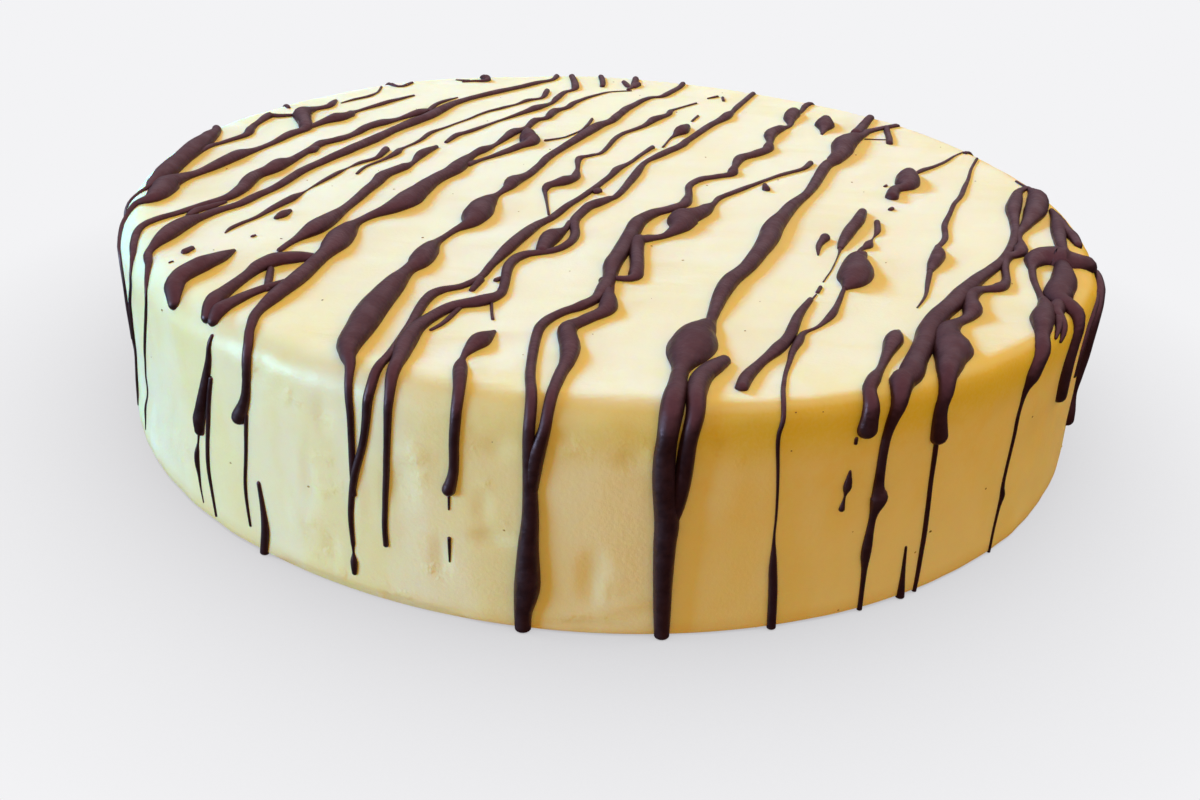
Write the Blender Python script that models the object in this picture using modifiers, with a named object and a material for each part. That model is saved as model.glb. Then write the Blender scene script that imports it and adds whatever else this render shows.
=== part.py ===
"""A round ice cream cake with drizzled chocolate that runs over its rim and down its side.

Metres, +Z up. The cake stands on its flat base at z = 0, its axis on the Z axis and its front towards -Y.
Routes are in millimetres on the unrolled cake: the flat top, with the rim and the side folded out round it.
"""
from math import acos, atan2, ceil, cos, hypot, pi, radians, sin, sqrt

import bmesh
import bpy
from mathutils import Vector, noise

# Driving dimensions
MM = 0.001
RADIUS = 115.0
HEIGHT = 46.0
RIM_ROUNDING = 6.0
BASE_CHAMFER = 0.8
AROUND = 48
RIM_STEPS = 4
SIDE_STEPS = 3
TOP_RINGS = (84.0, 56.0, 28.0)

# Unevenness of the ice cream: height of the soft dents, their length, and the strip at the foot without any
DENT = 0.55
DENT_LENGTH = 42.0
CALM_FOOT = 6.0

# The left and the right side lean in towards the top, by this much at the rim, and draw the top in with them
LEAN = 2.0
LEAN_FROM = 78.0

# Drizzle: a strand up to FULL_ROUND wide is half as high as it is wide, and a wider one spreads out flatter
FULL_ROUND = 4.0
SPREAD_RISE = 0.25
THINNEST = 1.2
LONG_GAP = 14.0
RIM_GAP = 4.5
RIM_REACH = (105.0, 121.0)
FOOT = 0.4
TUBE_SIDES = 6
STRAIGHT_WITHIN = 0.5
END_REACH = 0.4
END_SHARE = 0.45
TINY = 0.01

# Routes and widths are as sighted from this place, where a raised strand hides some of the surface behind it
SIGHTED_FROM = Vector((0.0, -281.0, 137.0))
LOWEST_SIGHT = 0.25
OUT_OF_SIGHT = (-0.15, 0.12)
HIDDEN_SHARE = 0.7
WIDTH_ROUNDS = 6

FLAT_RADIUS = RADIUS - RIM_ROUNDING
RIM_ARC = RIM_ROUNDING * pi / 2
FILLET_FOOT = HEIGHT - RIM_ROUNDING

CREAM = {"colour": (0.80, 0.74, 0.52, 1.0), "roughness": 0.5, "metallic": 0.0}


def side(angle, height, width):
    """A route point on the rim or the side: degrees from the front, height above the base, strand width."""
    if height > FILLET_FOOT:
        reach = FLAT_RADIUS + RIM_ROUNDING * acos((height - FILLET_FOOT) / RIM_ROUNDING)
    else:
        reach = FLAT_RADIUS + RIM_ARC + FILLET_FOOT - height
    return (reach * sin(radians(angle)), -reach * cos(radians(angle)), width)


# Each strand is a route of (x, y, width) points, from its far end to its near end
STRANDS = {
    "left_rim": [
        side(-108, 30, 1.4), side(-106, 43, 1.8), (-105.2, 25.5, 2.6), (-105.2, 17, 5.4), (-105.8, 8, 6.8),
        (-106.2, -2, 6.2), (-106.4, -10, 6.4), (-106.8, -18, 5), side(-78.5, 45.5, 3), side(-77, 42, 2.2),
        side(-76, 34, 2.2), side(-75.5, 26, 2.4)],
    "left_rim_inner": [
        (-89, 45, 2.4), (-93.2, 42.5, 4), (-95.8, 42, 4), (-97, 34, 2.4), (-97, 28.6, 2.4),
        (-96.9, 22.4, 3.2),
        (-100.4, 15.2, 2.4), (-102.7, 10.4, 2.4), (-104.2, 3.6, 2.4), (-106, -4.1, 2)],
    "left_outer": [
        (-82, 62, 1.4), (-83, 56, 3.6), (-86.5, 51.5, 4), (-87.5, 45, 5.4), (-84.3, 36, 4), (-83.5, 31, 4),
        (-86, 25.3, 4), (-88.5, 16.2, 2.6), (-90.7, 10.8, 3), (-93.6, 6.5, 5.4), (-95.5, 1.3, 5.4),
        (-97.5, -4.8, 4.8),
        (-99.3, -9, 4), (-101.6, -13, 5), (-103, -17.5, 6.4), (-102.8, -23.3, 7), (-103.5, -29, 6.4),
        side(-73.6, 44.9, 4.4), side(-70, 42, 3), side(-66.5, 39.5, 2.6), side(-65.3, 34, 2.6),
        side(-65.6, 28, 2.4),
        side(-65.6, 20, 1.4)],
    "left_short": [
        (-61, 72, 1.5), (-68, 62, 3), (-74, 52, 2), (-75.6, 47.4, 4.6), (-78.3, 43.2, 7), (-80.7, 38, 4),
        (-83, 32, 2.4)],
    "left_long": [
        side(-170, 26, 1.4), side(-170, 42, 1.8), (-21, 104, 2.4), (-26, 98, 3.4), (-32, 90, 3.6),
        (-38, 82, 4),
        (-47, 68, 3.5), (-53, 52, 5), (-57, 44, 5), (-61, 34, 4), (-64.5, 24, 4.5), (-68, 15, 4.4),
        (-71.9, 4.8, 3.8),
        (-75.5, -4.2, 3.4), (-78.1, -14.6, 3.2), (-81.2, -22.7, 3.2), (-83.1, -28.6, 3.4),
        (-86.6, -34.3, 3.4),
        (-88.5, -38.7, 3.6), (-90.3, -42.5, 5), (-91.4, -47.4, 5.6), (-91.9, -52.2, 5), (-92.2, -57.2, 3),
        side(-56.8, 45.4, 2.2), side(-54.8, 44.9, 1.9), side(-53.2, 43.7, 1.8), side(-52.1, 41.8, 1.8),
        side(-52.3, 38.4, 1.8), side(-54.4, 29.6, 1.8), side(-56, 23, 1.5), side(-57.5, 14, 1.2),
        side(-59, 9, 1.8),
        side(-60, 3, 1.2)],
    "left_second": [
        (-54, 58, 2), (-57, 54, 5), (-61, 47, 3), (-65, 42, 5), (-68, 36, 4), (-70.3, 28, 3), (-73, 23, 4),
        (-76, 19, 4), (-77.5, 13, 3), (-79.6, 5, 3.4), (-82, 0.5, 6.2), (-83.6, -4, 6.4), (-85.6, -9.5, 4.6),
        (-86, -18.3, 4.2), (-87.5, -25.1, 3.8), (-90.8, -30.9, 3.6), (-94, -36.5, 3), (-96.7, -41, 2.8),
        (-98.3, -45, 2.6), side(-63.8, 45.4, 2.6), side(-61.5, 44.6, 2.4), side(-59, 43.4, 2.3),
        side(-58, 41, 2.2),
        side(-58.3, 38.5, 2.2), side(-60, 33.8, 2.8), side(-60.8, 30, 3.2), side(-62.3, 23, 3),
        side(-62.3, 19, 2.2),
        side(-65, 8, 2), side(-67, 2, 1.2)],
    "left_link": [
        (-86.9, -28.2, 1.8), (-89, -31.7, 3), (-90.8, -34.9, 3), (-91.5, -38.8, 2)],
    "seventh": [
        (-47, 23, 2), (-49.5, 16, 3.5), (-50.5, 8, 1.8), (-52.5, 3, 4), (-55.5, -4, 4), (-56.5, -12, 3.5),
        (-59.5, -28, 3), (-61.5, -36, 5), (-63.5, -43, 6), (-65.5, -50, 2.5), (-67, -56, 1.8)],
    "seventh_low": [
        (-57.5, -58.6, 3.4), (-61.3, -58.4, 5.6), (-64.4, -59.5, 6.6), (-66.8, -61.2, 6.4), (-68.7, -64.8, 5),
        (-69.6, -69, 3.4), (-70.8, -75, 3.4), (-71.8, -80, 4),
        side(-40.8, 45.6, 4.4), side(-40, 44.4, 3.2)],
    "eighth": [
        (-12, 78, 2), (-18, 65, 3), (-20, 57, 3), (-23, 53, 3),
        (-25, 45, 2.5), (-28, 40, 4), (-30, 34, 3), (-32, 28, 2), (-35, 22, 4), (-37, 16, 3), (-39.5, 5, 5.5),
        (-42, -2, 5), (-44, -9, 5), (-45.5, -16, 6), (-47.5, -22, 8), (-50.5, -28, 6), (-53.5, -33, 3.5),
        (-55.5, -38, 3), (-56.5, -45, 6), (-57, -51, 6.5), (-58, -58, 4), (-60, -70, 4.5), (-62, -79, 4),
        (-63, -86, 2.4), side(-34.4, 45.4, 2), side(-33.2, 42, 2.5), side(-33.6, 34, 2.5),
        side(-34.8, 29, 3.5)],
    "eighth_twin": [
        (-24, 40, 3), (-23.5, 36, 5), (-23, 32, 6), (-26, 27, 4), (-30, 20, 3), (-34, 14, 2), (-37, 9, 3)],
    "ninth": [
        side(169, 28, 1.4), side(169, 42, 1.8), (19.5, 102, 2.2), (14, 90, 3), (9.5, 86, 2.5), (3.5, 74, 3),
        (1, 66, 3), (-1.5, 58, 3.5), (-5, 52, 4), (-8, 44, 4), (-14, 28, 3), (-17, 19, 2.8), (-19, 10, 2.5),
        (-21, 3, 3), (-24, -3, 4.5), (-25, -8, 3.5), (-27, -14, 2), (-29, -21, 5.5), (-30, -27, 7),
        (-31, -33, 5.5), (-34, -39, 2.2), (-36.5, -46, 2.5), (-37.5, -52, 5), (-38.5, -58, 5.5),
        (-40, -63, 3.5),
        (-41.5, -71, 5.5), (-43, -81, 6.5), (-43.5, -89, 6), (-44, -96, 5), (-43.5, -101, 3),
        side(-22.2, 44.8, 1.8), side(-21.5, 38, 1.6), side(-21.5, 22, 1.2)],
    "eleventh": [
        side(157, 36, 1.4), side(157, 43, 2), (42, 97, 2), (37, 82, 2.2), (34.5, 74, 2), (32, 68, 4),
        (29, 62, 3),
        (25.5, 55, 2.8), (20, 42, 2.5), (17.5, 36, 3), (11.5, 26, 3), (8, 19, 1.8), (5.5, 8, 2.5),
        (1.5, -8, 2),
        (-1, -12, 3), (-4, -16, 4), (-6, -20, 3), (-8, -28, 2.5), (-7.5, -37, 2.2), (-9, -43, 2.5),
        (-12, -47, 3),
        (-17.5, -50, 3.5), (-20, -56, 2.5), (-20, -68, 2), (-21, -72, 3), (-24, -75, 5), (-28, -77.5, 4),
        (-31, -82, 3.5), (-33.5, -88, 3.5), (-34.5, -95, 4), (-34.5, -101, 3), side(-18.2, 45.3, 2.4),
        side(-17.8, 42, 1.8), side(-18, 34, 1.4), side(-18.4, 22, 1.2), side(-18.5, 13, 1.2)],
    "eleventh_blob": [
        (-9, -30, 2), (-10, -34, 2), (-12.5, -39, 5), (-13.5, -44, 4), (-14, -48, 3)],
    "eleventh_left": [
        (-13, -26, 2), (-16.5, -33, 3), (-19, -40, 3.5), (-21.5, -48, 3.5), (-23.5, -56, 2.2), (-25, -63, 2),
        (-28, -68, 2.5), (-32, -71, 3), (-34, -76, 2.5), (-35, -88, 2), (-36.5, -100, 2),
        side(-19.8, 45.4, 2),
        side(-19.7, 42, 2), side(-20.2, 34, 1.6), side(-21.2, 26.5, 1.6), side(-22, 18, 1.4),
        side(-22, 11, 1.2)],
    "twelfth": [
        (-19.8, -88.5, 1.2), (-22, -92.5, 4.6), (-23.3, -96.4, 2.6), (-23.9, -99.6, 1.2),
        (-23.8, -103.5, 2.6),
        side(-12, 45.3, 2.2),
        side(-11.8, 42, 2), side(-11.9, 37, 1.9), side(-12, 31, 1.9), side(-12.4, 27.5, 2.5)],
    "thirteenth": [
        side(146, 30, 1.4), side(146.5, 43, 2), (59, 89, 2.4), (56, 80, 1.8), (53.5, 77, 5), (51.5, 70, 4),
        (50.5, 62, 1.8), (47, 58, 4), (44, 52, 4), (43, 44, 2), (41.5, 38, 4), (37.5, 33, 4.5),
        (33.5, 28, 3.5),
        (31.5, 20, 2), (30, 14, 3.5), (26, 11, 3.5), (22, 8, 3), (19, 2, 2), (18.5, -6, 2), (17, -12, 3.5),
        (13.5, -16, 4), (9.5, -20, 4), (6.5, -26, 4), (5, -33, 4), (2.5, -46, 4), (1, -53, 4), (0.5, -60, 3),
        (-0.5, -66, 3.5), (-2, -71, 3), (-5, -75, 3.5), (-8, -78, 2.8), (-11, -83, 2.5), (-12, -89, 2),
        (-12, -103, 1.8), side(-5.7, 45, 2), side(-5.6, 38, 2.2), side(-5.3, 25, 3), side(-5.4, 18, 3.8),
        side(-5.4, 10, 4.7), side(-5.7, 4, 3.3), side(-5.7, FOOT, 3)],
    "thirteenth_right": [
        (-0.8, -62, 1.8), (0.4, -69, 2.8), (0.2, -75.5, 4), (-3.6, -80.8, 3.6), (-6.6, -85.6, 3.6),
        (-5.8, -93, 3.8),
        (-6, -98.5, 3), (-7, -104, 2.4),
        side(-4.2, 44.2, 2), side(-4.4, 41, 2.2), side(-5, 36, 3), side(-5.3, 30, 2.5)],
    "fourteenth": [
        (52, 27, 2), (49.5, 22, 2), (44.5, 17, 2), (38.5, 10, 1.6), (30.5, 0, 2.2), (26, -6, 2),
        (24, -11, 1.8),
        (21, -16.5, 5), (17, -22, 7.5), (15.5, -28, 6), (12, -34, 3), (8, -36.5, 4), (6, -40, 3.5),
        (6, -54, 3), (5, -59.5, 3.5), (1, -60, 2.5)],
    "fifteenth": [
        (83, 70, 3), (74, 62, 3), (71, 57, 3), (67, 52, 6), (64, 46, 7), (62, 38, 6), (58.5, 30, 5),
        (55.5, 24, 3.5),
        (50.5, 8, 3), (47.5, 0, 2.8), (43.5, -8, 3.5), (40, -17, 4), (37, -25, 5), (35, -33, 5),
        (32, -42, 4.2),
        (29, -50, 4), (25, -58, 4.2), (22.5, -66, 3.5), (20.5, -75, 2.4), (19.6, -79, 2.6), (17.4, -84, 7),
        (16, -89.5, 9), (14.6, -94.5, 7.4), (13.6, -99.2, 3.6), (13, -103, 3.2), (12.7, -106.5, 3.6),
        side(6, 45, 4),
        side(5.6, 41, 3.6),
        side(5.6, 34, 4), side(6.2, 25, 4.4), side(6.2, 20, 4), side(6.4, 10, 3.4), side(6.7, FOOT, 2.8)],
    "fifteenth_right": [
        (21, -95, 3), (19, -98, 4), (17, -102, 4), (15.8, -108, 3.6), side(7.9, 44.5, 3.2), side(7.4, 41, 3),
        side(7.2, 34, 3.2), side(6.9, 29, 3.2), side(6.7, 26, 2.6)],
    "seventeenth": [
        (59.5, -11, 2.4), (57.5, -17, 3.2), (54.5, -24, 3.2), (52, -31, 2.5), (50.5, -36, 1.4)],
    "seventeenth_low": [
        (40, -66, 1.4), (37, -73, 2), (34, -83, 2.5), (31, -89, 3), (28, -94, 2.2), (25, -100, 2.6),
        (23.5, -105, 2.4)],
    "eighteenth": [
        (55, -39, 2), (53, -43, 5), (52, -49, 7.5), (50, -55, 6.5), (48, -59, 1.6)],
    "east_drop": [
        (78, 25, 1.6), (76.5, 19, 6), (74.5, 12, 6), (71, 8, 3.5), (69, 2, 3.5)],
    "twentieth": [
        side(100, 30, 1.4), side(100, 43, 2.4), (104.4, 14, 2.2), (100.4, 4.5, 3.6), (97.8, -2.7, 3.8),
        (95.9, -10.4, 2.6),
        (93.6, -19.5, 2.2), (90, -29, 2.2), (86, -37, 2.4), (82, -43, 3), (77.5, -49, 3.5), (73, -56, 4),
        (69, -63, 4.5),
        (64.5, -70, 4.5), (61, -77, 4.5), (58.5, -84, 4.2), (56, -90, 4.2), (54, -96, 4.6),
        side(27.4, 45.3, 4.4),
        side(26.2, 42.5, 3.4), side(25.5, 37, 2.2), side(25.6, 28, 2.5), side(25.9, 25, 4),
        side(25.6, 21, 1.8), side(25.6, 14, 2.4), side(25.8, 9, 1.3), side(26.1, FOOT, 1.2)],
    "twentieth_right": [
        (107.6, 22, 1.6), (107.6, 15, 3), (106.6, 7, 5.4), (102.8, -3.5, 5.4), (98, -13, 3), (93.8, -21, 2),
        (92.6, -27.5, 2.2),
        (90.6, -32.8, 3.8), (87, -36, 3), (85.2, -41, 2), (83, -50, 2), (80, -53.5, 4), (76, -55.5, 3),
        (73, -60, 3.5),
        (72, -66, 4), (70, -70, 3), (66.5, -74, 3), (64, -79, 5.6), (63.5, -85, 8), (62, -91, 5.4),
        (60.5, -95, 4),
        side(31.6, 43, 3.6), side(31.3, 40, 3.6), side(31.7, 35.5, 4.4)],
    "front_drop": [
        (54.8, -78.8, 1.2), (53.3, -82.6, 3.6), (51, -88.5, 2.2), (48.7, -94.5, 1.6), (46.9, -99, 2.6),
        side(23.9, 45.2, 2.6), side(23.5, 43, 3.6), side(23.4, 40.2, 4.4)],
    "right_rim": [
        (107.8, -1, 1.8), (107, -6.8, 3), (104.6, -15.9, 3.6), (102.1, -25.8, 3), (101.5, -31, 2.6)],
    "right_rim_outer": [
        (107.5, -4, 1.6), (106.8, -12.1, 4.4), side(80.2, 45.7, 4.6), side(77, 45.5, 3.2)],
    "right_tongue": [
        (92, -61, 3), side(54, 45.7, 3.6), side(52.2, 44.2, 3), side(50.8, 42.6, 1.6)],
    "right_arch": [
        (90.3, -44, 1.4), (91.3, -40.3, 3), (93.9, -36.2, 8), (97.6, -34.2, 12.5), (101, -35, 13),
        side(70.8, 45.8, 9), side(72, 44.4, 4)],
    "right_middle_leg": [
        (98.2, -37, 3), (97.4, -41.4, 3.8), (95.2, -49, 5.8), (93, -57.2, 6.2), side(56.8, 45.3, 6.6),
        side(56.6, 43.7, 7.4), side(56, 40.8, 7.4), side(55.6, 37, 7.8), side(55.6, 33, 8.4),
        side(56, 29, 8.2)],
    "right_left_leg": [
        (88, -59, 2), (87, -63.5, 3.6), side(51.2, 45.9, 4.8), side(49.4, 45.5, 4.2), side(47.8, 44.7, 3.6),
        side(46.6, 43, 5.6), side(45.8, 40.8, 6.8), side(45.2, 38.8, 6.2), side(44.6, 37.2, 3.2),
        side(44.3, 34.5, 1.7),
        side(44.1, 31, 1.6),
        side(44.2, 26.8, 1.5), side(44.2, 17, 1.5), side(44.6, 13.5, 2.3), side(44.4, 10, 1.4),
        side(44.4, FOOT, 1.2)],
    "right_outer_leg": [
        side(69, 41.5, 2), side(64.5, 39.5, 3.6), side(62, 34, 3.6), side(61, 28, 2.2)],
    "right_far_leg": [
        side(72.5, 45.2, 3), side(72, 42.8, 4.4), side(69, 40.8, 6), side(66.5, 37, 7), side(66, 32.8, 6.6),
        side(66, 28.6, 6), side(65.8, 24.4, 4.6), side(65.8, 20, 3), side(65.8, 16, 5),
        side(65.8, 13.5, 5.6)],
    "big_west_drop": [
        (-76, -57.5, 1.4), (-78, -62, 5), (-80, -65.8, 6.4), (-81.4, -69.7, 6), side(-48, 45.4, 5),
        side(-46.8, 44.6, 4.4),
        side(-45.6, 43.4, 3.4)],
    "west_side_bulb": [
        side(-38.2, 42.5, 1.2), side(-38.6, 38.5, 1.8), side(-39.4, 34, 2.5), side(-40.3, 29.5, 3.1),
        side(-41.2, 25.5, 3.7), side(-41.9, 22.5, 4.3), side(-42.1, 20.5, 4)],
    "front_left_foot": [
        side(-33, 16, 1.2), side(-32.8, 11, 1.6), side(-32.7, 6, 2.3), side(-33.1, FOOT, 2.2)],
    "back_short_left": [
        side(-141, 34, 1.6), side(-140.5, 43, 2.2), (-67, 82, 2.6), (-64, 87, 1.6)],
    "back_blob": [
        (-49, 93, 1.6), (-46, 95, 2.6), (-42, 97, 3.4), side(-157, 44.5, 2.4), side(-158, 36, 2.6),
        side(-158, 30, 3.4)],
    "back_pair_left": [
        (-5, 97, 1.6), (-5, 103, 2), side(-177, 44, 2), side(-177.5, 34, 2.4), side(-177.5, 20, 2),
        side(-177.5, 14, 3)],
    "back_pair_right": [
        (3, 95, 1.6), (5, 101, 2.4), side(177, 44, 2.2), side(176.5, 37, 3.4)],
    "back_right": [
        (99, 46, 1.6), side(116, 44, 2.4), side(116.5, 32, 2.6), side(116.5, 20, 1.8), side(116.5, 9, 3)],
    "back_far_left": [
        (-93, 52, 1.4), side(-121, 44, 1.8), side(-122, 34, 2.4), side(-122, 16, 2), side(-122, 6, 3)],
}


def eased(value, low, high):
    """0 below low, 1 above high, and a smooth step between."""
    share = min(max((value - low) / (high - low), 0.0), 1.0)
    return share * share * (3 - 2 * share)


def uneven(place, outward):
    """A place of the plain turned cake moved to the real, uneven one."""
    calm = min(max(place.z / CALM_FOOT, 0.0), 1.0)
    moved = place + outward * DENT * noise.noise(place / DENT_LENGTH) * calm
    reach = max(place.xy.length, TINY)
    sideways = (place.x / reach) ** 2
    lean = LEAN * sideways * eased(reach, LEAN_FROM, FLAT_RADIUS) * place.z / HEIGHT
    moved.xy *= 1 - lean / reach
    return moved


def before_lean(x, y):
    """A sighted place of the top, moved outwards by as much as the lean moves it back in."""
    reach = max(hypot(x, y), TINY)
    if reach > FLAT_RADIUS:
        return x, y
    grown = 1 + LEAN * (x / reach) ** 2 * eased(reach, LEAN_FROM, FLAT_RADIUS) / reach
    return x * grown, y * grown


def unrolled_to_space(x, y):
    """The place on the cake of a point of the unrolled cake, and the outward direction there."""
    reach = hypot(x, y)
    bearing = atan2(y, x) if reach else 0.0
    turn = min(max((reach - FLAT_RADIUS) / RIM_ROUNDING, 0.0), pi / 2)
    radius = min(reach, FLAT_RADIUS) + RIM_ROUNDING * sin(turn)
    height = FILLET_FOOT + RIM_ROUNDING * cos(turn) - max(reach - FLAT_RADIUS - RIM_ARC, 0.0)
    place = Vector((radius * cos(bearing), radius * sin(bearing), height))
    outward = Vector((sin(turn) * cos(bearing), sin(turn) * sin(bearing), cos(turn)))
    return uneven(place, outward), outward


def smoothed(points, index, share):
    """A point of the smooth curve through the route, a share of the way from one route point to the next."""
    before = points[max(index - 1, 0)]
    here = points[index]
    there = points[index + 1]
    after = points[min(index + 2, len(points) - 1)]
    pull_here = (there - before) / 2
    pull_there = (after - here) / 2
    gap = there - here
    bend = 3 * gap - 2 * pull_here - pull_there
    close = pull_here + pull_there - 2 * gap
    return here + (pull_here + (bend + close * share) * share) * share


def route_points(route):
    """The route's own points, with more between them where they lie far apart or cross the rim."""
    points = [Vector((*before_lean(x, y), width)) for x, y, width in route]
    out = []
    for index in range(len(points) - 1):
        here, there = points[index], points[index + 1]
        reach = max(here.xy.length, there.xy.length)
        low = min(here.xy.length, there.xy.length)
        on_rim = reach > RIM_REACH[0] and low < RIM_REACH[1]
        pieces = max(1, ceil((there - here).xy.length / (RIM_GAP if on_rim else LONG_GAP)))
        out += [smoothed(points, index, step / pieces) for step in range(pieces)]
    out.append(points[-1])
    return out


def thinned(points):
    """The points without those close to the straight run between their neighbours, in place and width."""
    if len(points) < 3:
        return points
    first, last = points[0], points[-1]
    run = last - first
    apart = []
    for point in points[1:-1]:
        share = min(max((point - first).dot(run) / run.length_squared, 0.0), 1.0)
        apart.append((point - first - run * share).length)
    furthest = max(apart)
    if furthest < STRAIGHT_WITHIN:
        return [first, last]
    turn = apart.index(furthest) + 1
    return thinned(points[:turn + 1])[:-1] + thinned(points[turn:])


def tube_points(route):
    """The route's points that a tube needs: thinned on the top and on the side, all of them round the rim."""
    out = []
    run = []
    for point in route_points(route):
        if RIM_REACH[0] < point.xy.length < RIM_REACH[1]:
            out += thinned(run) + [point]
            run = []
        else:
            run.append(point)
    return out + thinned(run)


def rise_and_radius(width):
    """How far a strand stands out and its section's radius: a narrow one is half round, a wide one flatter."""
    rise = min(width, FULL_ROUND) / 2 + SPREAD_RISE * max(width - FULL_ROUND, 0.0)
    return rise, (width * width / 4 + rise * rise) / (2 * rise)


def hidden_behind(width, sight):
    """How far behind its middle line a strand hides the surface, sighted at an angle whose sine is given."""
    rise, radius = rise_and_radius(width)
    hidden = (radius - (radius - rise) * sqrt(1 - sight * sight)) / sight
    return max(hidden, width / 2) if sight < width / 2 / radius else width / 2


def settled(points):
    """The points of a sighted route as places on the cake, outward directions and real widths."""
    out = []
    places = [unrolled_to_space(point.x, point.y) for point in points]
    for index, (point, (place, outward)) in enumerate(zip(points, places)):
        ahead = places[min(index + 1, len(points) - 1)][0] - places[max(index - 1, 0)][0]
        across = ahead.normalized().cross(outward).normalized()
        view = (SIGHTED_FROM - place).normalized()
        facing = max(view.dot(outward), TINY)
        sight = max(facing / hypot(facing, view.dot(across)), LOWEST_SIGHT)
        seen = eased(view.dot(outward), *OUT_OF_SIGHT)
        width = point.z
        for _ in range(WIDTH_ROUNDS):
            width *= point.z / (width / 2 + hidden_behind(width, sight))
        shift = (hidden_behind(width, sight) - width / 2) / 2 * (1 if view.dot(across) > 0 else -1)
        width = max(width * seen + point.z * HIDDEN_SHARE * (1 - seen), THINNEST)
        out.append((place + across * shift * seen, outward, width))
    return out


def round_ended(points, stands):
    """The same points with a small one before the first and after the last, to round the strand's ends."""
    ends = []
    for tip, next_one in ((points[0], points[1]), (points[-1], points[-2])):
        away = (tip[0] - next_one[0]).normalized() * tip[2] * END_REACH
        ends.append((tip[0] + away, tip[1], tip[2] * END_SHARE))
    return [ends[0]] + points + ([] if stands else [ends[1]])


def strand_tube(name, route):
    """One strand as a round tube sunk into the surface, so that a low rounded bead stands out."""
    points = tube_points(route)
    stands = points[-1].xy.length > FLAT_RADIUS + RIM_ARC + FILLET_FOOT - 2 * FOOT
    ready = round_ended(settled(points), stands)
    curve = bpy.data.curves.new(name, "CURVE")
    curve.dimensions = "3D"
    curve.bevel_depth = MM
    curve.bevel_resolution = (TUBE_SIDES - 4) // 2
    curve.use_fill_caps = True
    spline = curve.splines.new("POLY")
    spline.points.add(len(ready) - 1)
    for target, (place, outward, width) in zip(spline.points, ready):
        rise, radius = rise_and_radius(width)
        centre = (place + outward * (rise - radius)) * MM
        target.co = (*centre, 1.0)
        target.radius = radius
    return as_mesh(bpy.data.objects.new(name, curve))


def as_mesh(thing):
    """A closed mesh object in place of a curve or of an object with modifiers."""
    bpy.context.scene.collection.objects.link(thing)
    graph = bpy.context.evaluated_depsgraph_get()
    mesh = bpy.data.meshes.new_from_object(thing.evaluated_get(graph))
    solid = bpy.data.objects.new(thing.name, mesh)
    solid.matrix_world = thing.matrix_world.copy()
    bpy.data.objects.remove(thing)
    cage = bmesh.new()
    cage.from_mesh(mesh)
    bmesh.ops.remove_doubles(cage, verts=cage.verts, dist=TINY * MM)
    bmesh.ops.recalc_face_normals(cage, faces=cage.faces)
    cage.to_mesh(mesh)
    cage.free()
    return solid


def body_profile():
    """Half of the cake's section, from the middle of the base to the middle of the top, in millimetres."""
    section = [(0.0, 0.0), (RADIUS / 2, 0.0), (RADIUS - BASE_CHAMFER, 0.0)]
    rise = FILLET_FOOT - BASE_CHAMFER
    section += [(RADIUS, BASE_CHAMFER + rise * step / SIDE_STEPS) for step in range(SIDE_STEPS + 1)]
    for step in range(1, RIM_STEPS + 1):
        turn = pi / 2 * step / RIM_STEPS
        section.append((FLAT_RADIUS + RIM_ROUNDING * cos(turn), FILLET_FOOT + RIM_ROUNDING * sin(turn)))
    section += [(radius, HEIGHT) for radius in TOP_RINGS]
    section.append((0.0, HEIGHT))
    return section


def cake_body(name):
    """The turned body, with the soft unevenness of ice cream above its foot."""
    section = body_profile()
    mesh = bpy.data.meshes.new(name)
    mesh.from_pydata([(radius * MM, 0.0, height * MM) for radius, height in section],
                     [(index, index + 1) for index in range(len(section) - 1)], [])
    body = bpy.data.objects.new(name, mesh)
    turned = body.modifiers.new("turned", "SCREW")
    turned.steps = AROUND
    turned.render_steps = AROUND
    turned.use_merge_vertices = True
    turned.merge_threshold = TINY * MM
    body = as_mesh(body)
    for vertex in body.data.vertices:
        place = vertex.co / MM
        reach = max(place.xy.length, TINY)
        over = place.z - FILLET_FOOT
        turn = pi / 2 if over < 0 else atan2(max(reach - FLAT_RADIUS, 0.0), over)
        outward = Vector((place.x * sin(turn) / reach, place.y * sin(turn) / reach, cos(turn)))
        vertex.co = uneven(place, outward) * MM
    return body


def fused(body, pieces):
    """The body with every piece joined to it in one solid."""
    collection = bpy.data.collections.new("drizzle")
    bpy.context.scene.collection.children.link(collection)
    for piece in pieces:
        collection.objects.link(piece)
    join = body.modifiers.new("fuse", "BOOLEAN")
    join.operation = "UNION"
    join.operand_type = "COLLECTION"
    join.collection = collection
    join.solver = "MANIFOLD"
    solid = as_mesh(body)
    for piece in pieces:
        bpy.data.objects.remove(piece)
    bpy.data.collections.remove(collection)
    return solid


def plain_material(name, look):
    material = bpy.data.materials.new(name)
    material.use_nodes = True
    surface = material.node_tree.nodes["Principled BSDF"]
    surface.inputs["Base Color"].default_value = look["colour"]
    surface.inputs["Roughness"].default_value = look["roughness"]
    surface.inputs["Metallic"].default_value = look["metallic"]
    return material


def main():
    for thing in list(bpy.data.objects):
        bpy.data.objects.remove(thing)
    pieces = [strand_tube(name, route) for name, route in STRANDS.items()]
    cake = fused(cake_body("ice_cream_cake"), pieces)
    cake.name = "ice_cream_cake"
    cake.data.materials.clear()
    cake.data.materials.append(plain_material("ice_cream", CREAM))
    parts = bpy.data.collections.new("ice_cream_cake_parts")
    bpy.context.scene.collection.children.link(parts)
    parts.objects.link(cake)


main()
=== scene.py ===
"""A round ice cream cake with drizzled chocolate, seen from the front and a little above.

Routes are in millimetres on the unrolled cake: the flat top, with the rim and the side folded out round it.
Finishes, lights and camera are in metres.
"""
from math import acos, atan2, ceil, cos, hypot, pi, radians, sin, sqrt

import bmesh
import bpy
from mathutils import Matrix, Vector, noise


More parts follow.
